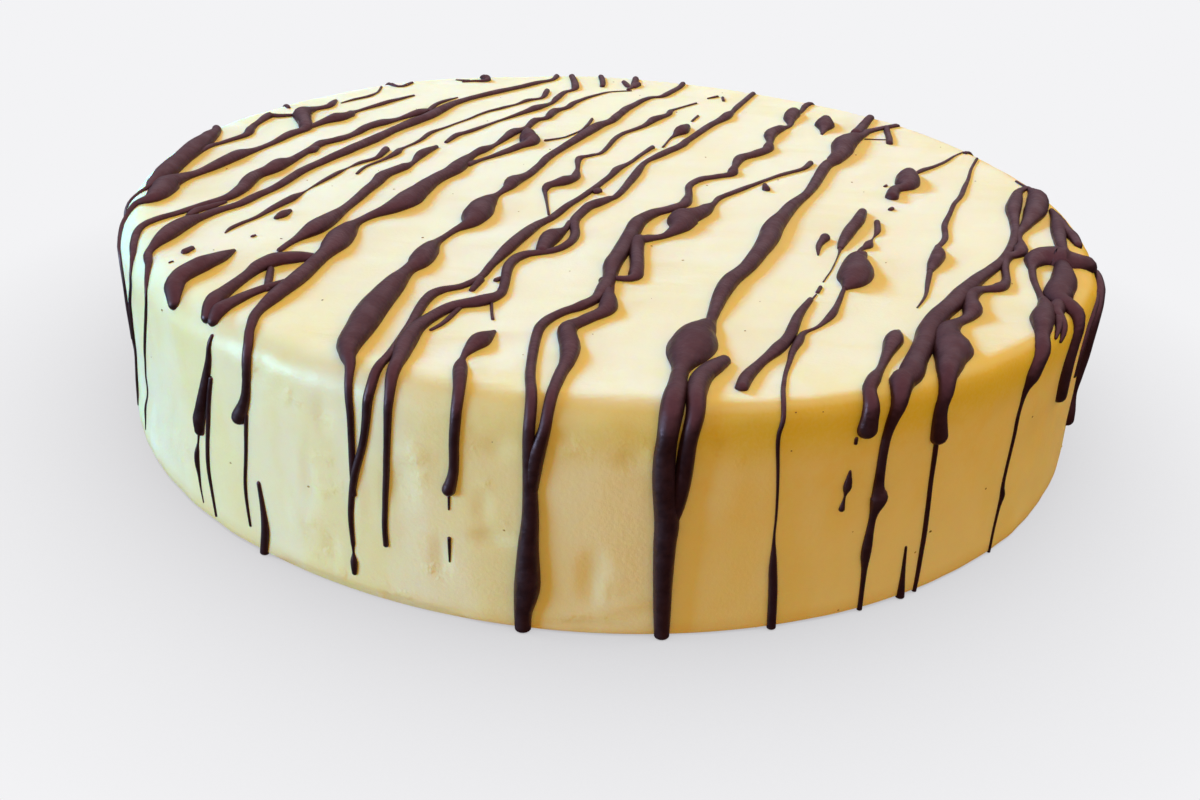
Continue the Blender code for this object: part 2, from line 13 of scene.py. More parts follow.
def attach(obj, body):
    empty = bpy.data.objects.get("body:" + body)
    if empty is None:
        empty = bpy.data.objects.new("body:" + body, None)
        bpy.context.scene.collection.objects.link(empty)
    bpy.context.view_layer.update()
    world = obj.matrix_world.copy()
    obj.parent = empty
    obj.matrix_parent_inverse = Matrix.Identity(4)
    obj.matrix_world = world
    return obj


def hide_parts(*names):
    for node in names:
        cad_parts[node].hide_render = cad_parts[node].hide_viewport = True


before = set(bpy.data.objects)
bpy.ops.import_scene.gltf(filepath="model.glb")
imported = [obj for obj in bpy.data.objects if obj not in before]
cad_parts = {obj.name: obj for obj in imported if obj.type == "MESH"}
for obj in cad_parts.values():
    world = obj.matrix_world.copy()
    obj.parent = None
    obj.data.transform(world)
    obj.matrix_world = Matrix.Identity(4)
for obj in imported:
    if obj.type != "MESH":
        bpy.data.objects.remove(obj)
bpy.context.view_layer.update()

# Size of the cake, as in its solid
MM = 0.001
RADIUS = 115.0
HEIGHT = 46.0
RIM_ROUNDING = 6.0
BASE_CHAMFER = 0.8
DENT = 0.55
DENT_LENGTH = 42.0
CALM_FOOT = 6.0
LEAN = 2.0
LEAN_FROM = 78.0
FLAT_RADIUS = RADIUS - RIM_ROUNDING
RIM_ARC = RIM_ROUNDING * pi / 2
FILLET_FOOT = HEIGHT - RIM_ROUNDING
FOOT_REACH = FLAT_RADIUS + RIM_ARC + FILLET_FOOT

# Drizzle
FULL_ROUND = 4.0
SPREAD_RISE = 0.25
FOOT = 0.4
STEP = 1.0
END_STEPS = 5
THINNEST = 0.08
TINY = 0.01
STRAND_SIDES = 16
UNEVENNESS = 0.10
LUMP_LENGTH = 0.0100

# Routes and widths are as sighted from here, where a raised strand hides some of the surface behind it
SIGHTED_FROM = Vector((0.0, -281.0, 137.0))
LOWEST_SIGHT = 0.25
OUT_OF_SIGHT = (-0.15, 0.12)
HIDDEN_SHARE = 0.7
WIDTH_ROUNDS = 6

# Body mesh: cells across the top, the step down the rim and the side, and the rings of the base
TOP_CELLS = 160
RING_STEP = 1.0
BASE_RINGS = (RADIUS - BASE_CHAMFER, RADIUS - 6.0, RADIUS / 2)

# Relief of the spread ice cream: lengths of its waves, their shift and their depth
SMEAR_WAVES, SMEAR_DEPTH = (26, 11, 9), 0.16
FINE_WAVE, FINE_SHIFT, FINE_DEPTH = 6.5, Vector((7, 3, 1)), 0.06
TOP_WAVES, TOP_DEPTH = (16, 4.5, 30), 0.07
TROWELS_ROUND, TROWEL_HEIGHT, TROWEL_SHIFT, TROWEL_DEPTH = 16, 34, 5.0, 0.16
WORN_RIM, RIM_WAVE, RIM_DEPTH = (36, 43), 3.4, 0.16
# How upright the surface is where the marks of the side fade in, and how high above the base all relief does
UPRIGHT = (0.05, 0.6)
CALM_EDGE = 0.6

# Shallow marks on the side: degrees from the front, height, half width, half height, depth
MARKS = (
    (0.3, 13, 3.6, 8, -0.7), (3.4, 7.5, 6, 1.8, 0.45), (1.2, 10, 1.2, 5, 0.35), (0.5, 2.8, 11, 1.7, -0.8),
    (-8.6, 19, 5, 2.4, -0.8), (-9.4, 25, 2.2, 5, -0.4), (-13.2, 13, 2.2, 7, -0.6), (-16.8, 26, 4, 6, -0.5),
    (-15.2, 33, 4, 3, 0.35), (-18, 17, 3, 5, 0.3), (-21.2, 24, 1.6, 16, 0.35), (-24.5, 36, 2.5, 5, -0.5),
    (-26.5, 22, 2.2, 9, -0.45), (-28.5, 12, 3.5, 5, 0.35), (-24.4, 9, 2.4, 4, -0.45), (-31.5, 40, 3, 4, -0.4),
    (-8.2, 37, 4, 3, -0.5), (-2.6, 40.5, 3, 2, -0.4), (3, 37, 4, 3, -0.45), (9.5, 40, 4, 2, -0.45),
    (11.5, 30, 5, 9, 0.3), (18, 24, 6, 10, -0.35), (21, 12, 5, 6, 0.3), (29, 30, 5, 9, -0.4),
    (36, 18, 6, 8, 0.35), (40, 34, 5, 5, -0.35), (49, 22, 6, 10, -0.4), (-48, 26, 6, 10, 0.35),
    (-44, 10, 5, 5, -0.3), (-56, 14, 5, 6, -0.4), (84, 22, 8, 11, -0.5), (104, 30, 9, 7, 0.45),
    (128, 18, 9, 8, -0.5), (152, 27, 9, 10, 0.4), (173, 15, 8, 7, -0.5), (-92, 16, 8, 7, -0.4),
    (-112, 29, 8, 9, 0.45), (-134, 15, 9, 7, -0.5), (-154, 28, 8, 8, 0.4))
# Patches of the side left open and crumbly: degrees from the front, height, half width, half height
CRUMBLY = (
    (-27, 35, 9, 8), (-24.5, 22, 4.5, 12), (-26, 9, 5, 7), (-16.5, 30, 6, 9), (-11.5, 37.5, 8, 4.5),
    (-8.6, 25, 4, 9), (-14, 13, 4, 8), (-33, 39, 4, 6), (-1.5, 38.5, 5, 4), (4, 36.5, 6, 5.5),
    (10.5, 37.5, 6, 4), (0.5, 3, 11, 2.4), (20, 39, 6, 3.5), (33.5, 38.5, 6, 3.5), (-20, 3, 14, 4),
    (75, 34, 9, 7), (96, 14, 8, 8), (118, 36, 10, 6), (140, 12, 9, 7), (163, 34, 9, 7), (-172, 10, 9, 7),
    (-146, 36, 9, 6), (-122, 13, 8, 7), (-98, 37, 9, 5))
CRUMB_LENGTH = 2.6
CRUMB_DEPTH = 0.16
CRUMB_FRACTAL = (0.8, 2.2, 3)
PATCH_GAIN = 1.5
# What breaks the patches up: length, shift, middle and swing of the noise, and where it lets them through
BREAK_WAVE, BREAK_SHIFT = 4.6, Vector((4, 8, 2))
BREAK_MIDDLE, BREAK_SWING = 0.55, 0.9
BREAK_FADE = (0.1, 0.9)
# The broken lower edge of the front left: its bearings and their fades, height and depth, and its noise
RAGGED_FOOT = (-32, -9)
RAGGED_FADES = (4, 6)
RAGGED_HEIGHT = 3.6
RAGGED_DEPTH = 1.3
RAGGED_MIDDLE, RAGGED_SWING = 0.45, 0.5
RAGGED_PER_DEGREE, RAGGED_SHIFT = 0.9, (3.0, 7.0)
RAGGED_SOLID = 0.6
# The rim is crisper than its plain rounding between these bearings
CRISP_RIM = (3, 74)
CRISP_FADE = 10
CRISP_ROUNDING = 3.6

# Mottles: scale, detail, and the noise where they begin and where they are full
CLOUD = (17.0, 3.0, 0.38, 0.66)
STREAK = (95.0, 4.0, 0.46, 0.74)
BLOTCH = (210.0, 4.0, 0.44, 0.70)
GRAIN = (1500.0, 2.0, 0.30, 0.72)
WAX = (75.0, 6.0, 0.42, 0.62)
BLOOM = (90.0, 3.0, 0.40, 0.72)
SKIN = (950.0, 3.0, 0.30, 0.70)
SHEEN = (240.0, 2.0, 0.35, 0.65)
SWELL = (420.0, 2.0, 0.2, 0.8)
COVER = (130.0, 1.0, 0.35, 0.65)
# Stretch of the streaks and the wax, and what flattens a place to the base
ALONG_STREAKS = (0.35, 1.0, 0.22)
DOWN_SIDE = (1.0, 1.0, 0.45)
FLATTENED = (1.0, 1.0, 0.0)

# Ice cream: the colour, the tints laid over it, and painted shade on the right side and under the rim
IVORY = (0.925, 0.897, 0.730, 1)
BUTTER = (0.908, 0.866, 0.650, 1)
PULLED_STREAK = (0.865, 0.805, 0.480, 1)
WAXY = (0.880, 0.800, 0.400, 1)
# Painted shade: a deeper orange yellow over the upper part of the right side
PAINTED_RIGHT_SHADE = (0.860, 0.660, 0.200, 1)
# Painted shade: deep yellow just under the rim, stronger towards the right
PAINTED_RIM_SHADE = (0.820, 0.680, 0.060, 1)
OPEN_CRUMB = (0.840, 0.780, 0.400, 1)
FOOT_EDGE = (0.720, 0.560, 0.220, 1)
PALE_GRAIN = (0.960, 0.930, 0.800, 1)
# Where the tints and the painted shade fade in and out, by distance from the middle, height or place to the
# right
NEAR_RIM = (0.084, 0.112)
RIGHT_SHADE_RISES, RIGHT_SHADE_ENDS, RIGHT_SHADE_SPAN = (0.008, 0.043), (0.0450, 0.0425), (-0.050, 0.060)
SHADE_RISES, SHADE_ENDS, SHADE_RIGHT = (0.0330, 0.0420), (0.0458, 0.0446), (-0.040, 0.036)
FOOT_FADES = (0.0045, 0.0005)
# Shares of the tints and of the painted shade: a plain one, or the least and how much a mottle adds
STREAK_SHARE, FOOT_SHARE, GRAIN_SHARE = 0.30, 0.45, 0.10
WAX_SHARE, RIGHT_SHADE_SHARE, SHADE_SHARE, CRUMB_SHARE = (0.12, 0.34), (0.4, 0.3), (0.80, 0.15), (0.12, 0.45)
# Roughness: plain, more where blotched, more where crumbly
DAMP, BLOTCH_ROUGH, CRUMB_ROUGH = 0.40, 0.10, 0.12
PITS_SHARE = (0.1, 0.9)
# Bumps: strength and depth
PULLED_BUMP, PITTED_BUMP, GRAIN_BUMP = (0.18, 0.0006), (0.6, 0.0004), (0.14, 0.00012)
GLOW, GLOW_COLOUR, GLOW_DEPTH = 0.5, (1.0, 0.5, 0.2), 0.0020

# Chocolate: the colour, its bloom, its fine pale skin, and its gloss
DARK_CHOCOLATE = (0.0080, 0.0034, 0.0044, 1)
CHOCOLATE_BLOOM = (0.0150, 0.0056, 0.0064, 1)
PALE_SKIN, SKIN_SHARE = (0.040, 0.015, 0.017, 1), 0.28
CHOCOLATE_ROUGH = (0.40, 0.56)
LILAC_GLOSS, GLOSS = (1.0, 0.44, 0.52, 1), 0.9
SWELL_BUMP, SKIN_BUMP = (0.20, 0.0003), (0.30, 0.0001)

# Vanilla specks: bare and covered colour, how many to the square metre, their sizes and how flat they are
SEED_BROWN, COVERED_SEED, SEED_ROUGH = (0.180, 0.100, 0.040, 1), (0.560, 0.420, 0.190, 1), 0.6
SPECKS = 1900.0
SPECK_SIZES = (0.00012, 0.00034)
SPECK_WIDTH, SPECK_FLATNESS = 0.7, 0.35

# Camera of the photograph
LENS = 35.53
SENSOR = 36.0
NEAREST = 0.01
CAMERA_PLACE = (0.0, -0.28084, 0.13738)
CAMERA_PITCH = 28.38
CAMERA_ROLL = 3.29

# Light: the room's warm light from all round, what the gloss mirrors low and high up, and the pale backdrop
WARM_ROOM = (0.530, 0.280, 0.040, 1)
MIRRORED_LOW = (0.05, 0.035, 0.05, 1)
MIRRORED_HIGH = (1.20, 1.00, 1.10, 1)
MIRRORED_FADE = (-0.1, 0.7)
BACKDROP = (0.896, 0.896, 0.913, 1)
# Painted shadow on the floor near the cake: its colour, reach and rays
FLOOR_SHADE = (0.42, 0.41, 0.42, 1)
FLOOR_SHADE_REACH = 0.07
FLOOR_SHADE_RAYS = 12
FLOOR_HALF = 3.0
# Soft lights: name, degrees from the front, degrees up, distance, size, colour, power, seen in the gloss
LIGHTS = (
    ("window", -138, 21, 1.5, 0.27, (0.11, 0.52, 1.0), 54.0, False),
    ("window glow", -70, 7, 1.6, 0.6, (0.33, 0.75, 1.0), 24.5, True),
    ("lamp", 135, 46, 1.6, 1.2, (1.0, 0.69, 0.08), 13.5, False),
    ("back fill", -176, 4, 1.6, 1.0, (1.0, 0.50, 0.08), 14.0, False),
    ("low fill", 58, 3, 1.6, 1.2, (0.88, 0.90, 0.70), 2.8, False))


def side(angle, height, width):
    """A route point on the rim or the side: degrees from the front, height above the base, strand width."""
    if height > FILLET_FOOT:
        reach = FLAT_RADIUS + RIM_ROUNDING * acos((height - FILLET_FOOT) / RIM_ROUNDING)
    else:
        reach = FOOT_REACH - height
    return (reach * sin(radians(angle)), -reach * cos(radians(angle)), width)


# Thick strands, from the far end to the near end: (x, y, width)
THICK_LEFT = [
    [side(-108, 30, 1.4), side(-106, 43, 1.8), (-105.2, 25.5, 2.6), (-105.2, 17, 5.4), (-105.8, 8, 6.8),
     (-106.2, -2, 6.2), (-106.4, -10, 6.4), (-106.8, -18, 5), side(-78.5, 45.5, 3), side(-77, 42, 2.2),
     side(-76, 34, 2.2), side(-75.5, 26, 2.4)],
    [(-89, 45, 2.4), (-93.2, 42.5, 4), (-95.8, 42, 4), (-97, 34, 2.4), (-97, 28.6, 2.4), (-96.9, 22.4, 3.2),
     (-100.4, 15.2, 2.4), (-102.7, 10.4, 2.4), (-104.2, 3.6, 2.4), (-106, -4.1, 2)],
    [(-82, 62, 1.4), (-83, 56, 3.6), (-86.5, 51.5, 4), (-87.5, 45, 5.4), (-84.3, 36, 4), (-83.5, 31, 4),
     (-86, 25.3, 4), (-88.5, 16.2, 2.6), (-90.7, 10.8, 3), (-93.6, 6.5, 5.4), (-95.5, 1.3, 5.4),
     (-97.5, -4.8, 4.8), (-99.3, -9, 4), (-101.6, -13, 5), (-103, -17.5, 6.4), (-102.8, -23.3, 7),
     (-103.5, -29, 6.4), side(-73.6, 44.9, 4.4), side(-70, 42, 3), side(-66.5, 39.5, 2.6),
     side(-65.3, 34, 2.6), side(-65.6, 28, 2.4), side(-65.6, 20, 1.4)],
    [(-61, 72, 1.5), (-68, 62, 3), (-74, 52, 2), (-75.6, 47.4, 4.6), (-78.3, 43.2, 7), (-80.7, 38, 4),
     (-83, 32, 2.4)],
    [side(-170, 26, 1.4), side(-170, 42, 1.8), (-21, 104, 2.4), (-26, 98, 3.4), (-32, 90, 3.6), (-38, 82, 4),
     (-47, 68, 3.5), (-53, 52, 5), (-57, 44, 5), (-61, 34, 4), (-64.5, 24, 4.5), (-68, 15, 4.4),
     (-71.9, 4.8, 3.8), (-75.5, -4.2, 3.4), (-78.1, -14.6, 3.2), (-81.2, -22.7, 3.2), (-83.1, -28.6, 3.4),
     (-86.6, -34.3, 3.4), (-88.5, -38.7, 3.6), (-90.3, -42.5, 5), (-91.4, -47.4, 5.6), (-91.9, -52.2, 5),
     (-92.2, -57.2, 3), side(-56.8, 45.4, 2.2), side(-54.8, 44.9, 1.9), side(-53.2, 43.7, 1.8),
     side(-52.1, 41.8, 1.8), side(-52.3, 38.4, 1.8), side(-54.4, 29.6, 1.8), side(-56, 23, 1.5),
     side(-57.5, 14, 1.2), side(-59, 9, 1.8), side(-60, 3, 0.8)],
    [(-54, 58, 2), (-57, 54, 5), (-61, 47, 3), (-65, 42, 5), (-68, 36, 4), (-70.3, 28, 3), (-73, 23, 4),
     (-76, 19, 4), (-77.5, 13, 3), (-79.6, 5, 3.4), (-82, 0.5, 6.2), (-83.6, -4, 6.4), (-85.6, -9.5, 4.6),
     (-86, -18.3, 4.2), (-87.5, -25.1, 3.8), (-90.8, -30.9, 3.6), (-94, -36.5, 3), (-96.7, -41, 2.8),
     (-98.3, -45, 2.6), side(-63.8, 45.4, 2.6), side(-61.5, 44.6, 2.4), side(-59, 43.4, 2.3),
     side(-58, 41, 2.2), side(-58.3, 38.5, 2.2), side(-60, 33.8, 2.8), side(-60.8, 30, 3.2),
     side(-62.3, 23, 3), side(-62.3, 19, 2.2), side(-65, 8, 2), side(-67, 2, 1)],
    [(-86.9, -28.2, 1.8), (-89, -31.7, 3), (-90.8, -34.9, 3), (-91.5, -38.8, 2)],
    [side(-172, 36, 1.4), side(-172, 43, 1.8), (-13.5, 95, 2.6), (-16.5, 88, 2), (-18.5, 80, 2.5),
     (-20, 74, 2), (-24, 67, 4), (-27, 61, 3), (-33.5, 50, 1.5), (-40, 39, 2.5), (-43, 35, 2.5),
     (-45, 28, 1.5)],
    [(-47, 23, 2), (-49.5, 16, 3.5), (-50.5, 8, 1.8), (-52.5, 3, 4), (-55.5, -4, 4), (-56.5, -12, 3.5),
     (-59.5, -28, 3), (-61.5, -36, 5), (-63.5, -43, 6), (-65.5, -50, 2.5), (-67, -56, 1.8)],
    [(-57.5, -58.6, 3.4), (-61.3, -58.4, 5.6), (-64.4, -59.5, 6.6), (-66.8, -61.2, 6.4), (-68.7, -64.8, 5),
     (-69.6, -69, 3.4), (-70.8, -75, 3.4), (-71.8, -80, 4), side(-40.8, 45.6, 4.4), side(-40, 44.4, 3.2)],
    [(-60.5, -70, 2.6), (-64.3, -74.6, 3), (-67, -78.6, 3.2), (-69.2, -83.4, 3.8), side(-39.4, 45.5, 4.2),
     side(-39, 44.4, 3)],
    [(4, 94, 1.5), (-4, 90, 1.5), (-12, 78, 2.2), (-15, 70, 2.5), (-18, 65, 3), (-20, 57, 3), (-23, 53, 3),
     (-25, 45, 2.5), (-28, 40, 4), (-30, 34, 3), (-32, 28, 2), (-35, 22, 4), (-37, 16, 3), (-39.5, 5, 5.5),
     (-42, -2, 5), (-44, -9, 5), (-45.5, -16, 6), (-47.5, -22, 8), (-50.5, -28, 6), (-53.5, -33, 3.5),
     (-55.5, -38, 3), (-56.5, -45, 6), (-57, -51, 6.5), (-58, -58, 4), (-60, -70, 4.5), (-62, -79, 4),
     (-63, -86, 2.4), side(-34.4, 45.4, 2), side(-33.2, 42, 2.5), side(-33.6, 34, 2.5), side(-34.8, 29, 3.5)],
    [(-24, 40, 3), (-23.5, 36, 5), (-23, 32, 6), (-26, 27, 4), (-30, 20, 3), (-34, 14, 2), (-37, 9, 3)],
    [side(169, 28, 1.4), side(169, 42, 1.8), (19.5, 102, 2.2), (14, 90, 3), (9.5, 86, 2.5), (3.5, 74, 3),
     (1, 66, 3), (-1.5, 58, 3.5), (-5, 52, 4), (-8, 44, 4), (-14, 28, 3), (-17, 19, 2.8), (-19, 10, 2.5),
     (-21, 3, 3), (-24, -3, 4.5), (-25, -8, 3.5), (-27, -14, 2), (-29, -21, 5.5), (-30, -27, 7),
     (-31, -33, 5.5), (-34, -39, 2.2), (-36.5, -46, 2.5), (-37.5, -52, 5), (-38.5, -58, 5.5), (-40, -63, 3.5),
     (-41.5, -71, 5.5), (-43, -81, 6.5), (-43.5, -89, 6), (-44, -96, 5), (-43.5, -101, 3),
     side(-22.2, 44.8, 1.8), side(-21.5, 38, 1.6), side(-21.5, 22, 1.2)],
    [(24, 83, 1.4), (17, 74, 1.5), (15, 68, 2.5), (11, 62, 3.5), (8, 55, 2.5), (1, 43, 1.8), (-3, 27, 1.5),
     (-6, 23, 2), (-9, 19, 2), (-9, 10, 1.2), (-9.5, 3, 3), (-12.5, -1, 5.5), (-15.5, -5, 3), (-16, -9, 1.4)],
    [side(157, 36, 1.4), side(157, 43, 2), (42, 97, 2), (37, 82, 2.2), (34.5, 74, 2), (32, 68, 4),
     (29, 62, 3), (25.5, 55, 2.8), (20, 42, 2.5), (17.5, 36, 3), (11.5, 26, 3), (8, 19, 1.8), (5.5, 8, 2.5),
     (1.5, -8, 2), (-1, -12, 3), (-4, -16, 4), (-6, -20, 3), (-8, -28, 2.5), (-7.5, -37, 2.2), (-9, -43, 2.5),
     (-12, -47, 3), (-17.5, -50, 3.5), (-20, -56, 2.5), (-20, -68, 2), (-21, -72, 3), (-24, -75, 5),
     (-28, -77.5, 4), (-31, -82, 3.5), (-33.5, -88, 3.5), (-34.5, -95, 4), (-34.5, -101, 3),
     side(-18.2, 45.3, 2.4), side(-17.8, 42, 1.8), side(-18, 34, 1.4), side(-18.4, 22, 1.2),
     side(-18.5, 13, 1.2)],
    [(-9, -30, 2), (-10, -34, 2), (-12.5, -39, 5), (-13.5, -44, 4), (-14, -48, 3)],
    [(10, 33, 2), (7, 26, 1.5), (4, 18, 1.5), (1, 12, 2.5), (-1, 5, 2), (-6.5, -10, 2), (-10, -18, 2.2),
     (-13, -26, 2.5), (-16.5, -33, 3), (-19, -40, 3.5), (-21.5, -48, 3.5), (-23.5, -56, 2.2), (-25, -63, 2),
     (-28, -68, 2.5), (-32, -71, 3), (-34, -76, 2.5), (-35, -88, 2), (-36.5, -100, 2), side(-19.8, 45.4, 2),
     side(-19.7, 42, 2), side(-20.2, 34, 1.6), side(-21.2, 26.5, 1.6), side(-22, 18, 1.4), side(-22, 11, 1)],
    [(-19.8, -88.5, 1.2), (-22, -92.5, 4.6), (-23.3, -96.4, 2.6), (-23.9, -99.6, 1.2), (-23.8, -103.5, 2.6),
     side(-12, 45.3, 2.2), side(-11.8, 42, 2), side(-11.9, 37, 1.9), side(-12, 31, 1.9),
     side(-12.4, 27.5, 2.5)],
    [side(146, 30, 1.4), side(146.5, 43, 2), (59, 89, 2.4), (56, 80, 1.8), (53.5, 77, 5), (51.5, 70, 4),
     (50.5, 62, 1.8), (47, 58, 4), (44, 52, 4), (43, 44, 2), (41.5, 38, 4), (37.5, 33, 4.5), (33.5, 28, 3.5),
     (31.5, 20, 2), (30, 14, 3.5), (26, 11, 3.5), (22, 8, 3), (19, 2, 2), (18.5, -6, 2), (17, -12, 3.5),
     (13.5, -16, 4), (9.5, -20, 4), (6.5, -26, 4), (5, -33, 4), (2.5, -46, 4), (1, -53, 4), (0.5, -60, 3),
     (-0.5, -66, 3.5), (-2, -71, 3), (-5, -75, 3.5), (-8, -78, 2.8), (-11, -83, 2.5), (-12, -89, 2),
     (-12, -103, 1.8), side(-5.7, 45, 2), side(-5.6, 38, 2.2), side(-5.3, 25, 3), side(-5.4, 18, 3.8),
     side(-5.4, 10, 4.7), side(-5.7, 4, 3.3), side(-5.7, FOOT, 3)],
    [(-0.8, -62, 1.8), (0.4, -69, 2.8), (0.2, -75.5, 4), (-3.6, -80.8, 3.6), (-6.6, -85.6, 3.6),
     (-5.8, -93, 3.8), (-6, -98.5, 3), (-7, -104, 2.4), side(-4.2, 44.2, 2), side(-4.4, 41, 2.2),
     side(-5, 36, 3), side(-5.3, 30, 2.5)],
    [(52, 27, 2), (49.5, 22, 2), (44.5, 17, 2), (38.5, 10, 1.6), (30.5, 0, 2.2), (26, -6, 2), (24, -11, 1.8),
     (21, -16.5, 5), (17, -22, 7.5), (15.5, -28, 6), (12, -34, 3), (8, -36.5, 4), (6, -40, 3.5), (6, -54, 3),
     (5, -59.5, 3.5), (1, -60, 2.5)],
    [(83, 70, 3), (74, 62, 3), (71, 57, 3), (67, 52, 6), (64, 46, 7), (62, 38, 6), (58.5, 30, 5),
     (55.5, 24, 3.5), (50.5, 8, 3), (47.5, 0, 2.8), (43.5, -8, 3.5), (40, -17, 4), (37, -25, 5), (35, -33, 5),
     (32, -42, 4.2), (29, -50, 4), (25, -58, 4.2), (22.5, -66, 3.5), (20.5, -75, 2.4), (19.6, -79, 2.6),
     (17.4, -84, 7), (16, -89.5, 9), (14.6, -94.5, 7.4), (13.6, -99.2, 3.6), (13, -103, 3.2),
     (12.7, -106.5, 3.6), side(6, 45, 4), side(5.6, 41, 3.6), side(5.6, 34, 4), side(6.2, 25, 4.4),
     side(6.2, 20, 4), side(6.4, 10, 3.4), side(6.7, FOOT, 2.8)],
    [side(136, 38, 1.4), side(136, 44, 2.4), (74, 70, 3), (71, 62, 3.5), (69, 57, 4)],
    [(21, -95, 3), (19, -98, 4), (17, -102, 4), (15.8, -108, 3.6), side(7.9, 44.5, 3.2), side(7.4, 41, 3),
     side(7.2, 34, 3.2), side(6.9, 29, 3.2), side(6.7, 26, 2.6)],
]
THICK_RIGHT = [
    [(59.5, -11, 2.4), (57.5, -17, 3.2), (54.5, -24, 3.2), (52, -31, 2.5), (50.5, -36, 1.4)],
    [(40, -66, 1.4), (37, -73, 2), (34, -83, 2.5), (31, -89, 3), (28, -94, 2.2), (25, -100, 2.6),
     (23.5, -105, 2.4)],
    [(55, -39, 2), (53, -43, 5), (52, -49, 7.5), (50, -55, 6.5), (48, -59, 1.6)],
    [(78, 25, 1.6), (76.5, 19, 6), (74.5, 12, 6), (71, 8, 3.5), (69, 2, 3.5)],
    [(73, -31, 1.4), (72, -36, 3.2), (70, -41, 3), (68, -46, 1.5)],
    [side(100, 30, 1.4), side(100, 43, 2.4), (104.4, 14, 2.2), (100.4, 4.5, 3.6), (97.8, -2.7, 3.8),
     (95.9, -10.4, 2.6), (93.6, -19.5, 2.2), (90, -29, 2.2), (86, -37, 2.4), (82, -43, 3), (77.5, -49, 3.5),
     (73, -56, 4), (69, -63, 4.5), (64.5, -70, 4.5), (61, -77, 4.5), (58.5, -84, 4.2), (56, -90, 4.2),
     (54, -96, 4.6), side(27.4, 45.3, 4.4), side(26.2, 42.5, 3.4), side(25.5, 37, 2.2), side(25.6, 28, 2.5),
     side(25.9, 25, 4), side(25.6, 21, 1.8), side(25.6, 14, 2.4), side(25.8, 9, 1.3), side(26.1, FOOT, 1.2)],
    [(107.6, 22, 1.6), (107.6, 15, 3), (106.6, 7, 5.4), (102.8, -3.5, 5.4), (98, -13, 3), (93.8, -21, 2),
     (92.6, -27.5, 2.2), (90.6, -32.8, 3.8), (87, -36, 3), (85.2, -41, 2), (83, -50, 2), (80, -53.5, 4),
     (76, -55.5, 3), (73, -60, 3.5), (72, -66, 4), (70, -70, 3), (66.5, -74, 3), (64, -79, 5.6),
     (63.5, -85, 8), (62, -91, 5.4), (60.5, -95, 4), side(31.6, 43, 3.6), side(31.3, 40, 3.6),
     side(31.7, 35.5, 4.4)],
    [(54.8, -78.8, 1.2), (53.3, -82.6, 3.6), (51, -88.5, 2.2), (48.7, -94.5, 1.6), (46.9, -99, 2.6),
     side(23.9, 45.2, 2.6), side(23.5, 43, 3.6), side(23.4, 40.2, 4.4)],
    [(107.8, -1, 1.8), (107, -6.8, 3), (104.6, -15.9, 3.6), (102.1, -25.8, 3), (101.5, -31, 2.6)],
    [(107.5, -4, 1.6), (106.8, -12.1, 4.4), side(80.2, 45.7, 4.6), side(77, 45.5, 3.2)],
    [(92, -61, 3), side(54, 45.7, 3.6), side(52.2, 44.2, 3), side(50.8, 42.6, 1.6)],
    [(90.3, -44, 1.4), (91.3, -40.3, 3), (93.9, -36.2, 8), (97.6, -34.2, 12.5), (101, -35, 13),
     side(70.8, 45.8, 9), side(72, 44.4, 4)],
    [(98.2, -37, 3), (97.4, -41.4, 3.8), (95.2, -49, 5.8), (93, -57.2, 6.2), side(56.8, 45.3, 6.6),
     side(56.6, 43.7, 7.4), side(56, 40.8, 7.4), side(55.6, 37, 7.8), side(55.6, 33, 8.4), side(56, 29, 8.2)],
    [(88, -59, 2), (87, -63.5, 3.6), side(51.2, 45.9, 4.8), side(49.4, 45.5, 4.2), side(47.8, 44.7, 3.6),
     side(46.6, 43, 5.6), side(45.8, 40.8, 6.8), side(45.2, 38.8, 6.2), side(44.6, 37.2, 3.2),
     side(44.3, 34.5, 1.7), side(44.1, 31, 1.6), side(44.2, 26.8, 1.5), side(44.2, 17, 1.5),
     side(44.6, 13.5, 2.3), side(44.4, 10, 1.4), side(44.4, FOOT, 1.2)],
    [side(69, 41.5, 2), side(64.5, 39.5, 3.6), side(62, 34, 3.6), side(61, 28, 2.2)],
    [side(72.5, 45.2, 3), side(72, 42.8, 4.4), side(69, 40.8, 6), side(66.5, 37, 7), side(66, 32.8, 6.6),
     side(66, 28.6, 6), side(65.8, 24.4, 4.6), side(65.8, 20, 3), side(65.8, 16, 5), side(65.8, 13.5, 5.6)],
    [(-76, -57.5, 1.4), (-78, -62, 5), (-80, -65.8, 6.4), (-81.4, -69.7, 6), side(-48, 45.4, 5),
     side(-46.8, 44.6, 4.4), side(-45.6, 43.4, 3.4)],
    [side(-38.2, 42.5, 1), side(-38.6, 38.5, 1.8), side(-39.4, 34, 2.5), side(-40.3, 29.5, 3.1),
     side(-41.2, 25.5, 3.7), side(-41.9, 22.5, 4.3), side(-42.1, 20.5, 4)],
    [side(-33, 16, 1.2), side(-32.8, 11, 1.6), side(-32.7, 6, 2.3), side(-33.1, FOOT, 2.2)],
    [side(-141, 34, 1.6), side(-140.5, 43, 2.2), (-67, 82, 2.6), (-64, 87, 1.6)],
    [(-49, 93, 1.6), (-46, 95, 2.6), (-42, 97, 3.4), side(-157, 44.5, 2.4), side(-158, 36, 2.6),
     side(-158, 30, 3.4)],
    [(-5, 97, 1.6), (-5, 103, 2), side(-177, 44, 2), side(-177.5, 34, 2.4), side(-177.5, 20, 2),
     side(-177.5, 14, 3)],
    [(3, 95, 1.6), (5, 101, 2.4), side(177, 44, 2.2), side(176.5, 37, 3.4)],
    [(99, 46, 1.6), side(116, 44, 2.4), side(116.5, 32, 2.6), side(116.5, 20, 1.8), side(116.5, 9, 3)],
    [(-93, 52, 1.4), side(-121, 44, 1.8), side(-122, 34, 2.4), side(-122, 16, 2), side(-122, 6, 3)],
]
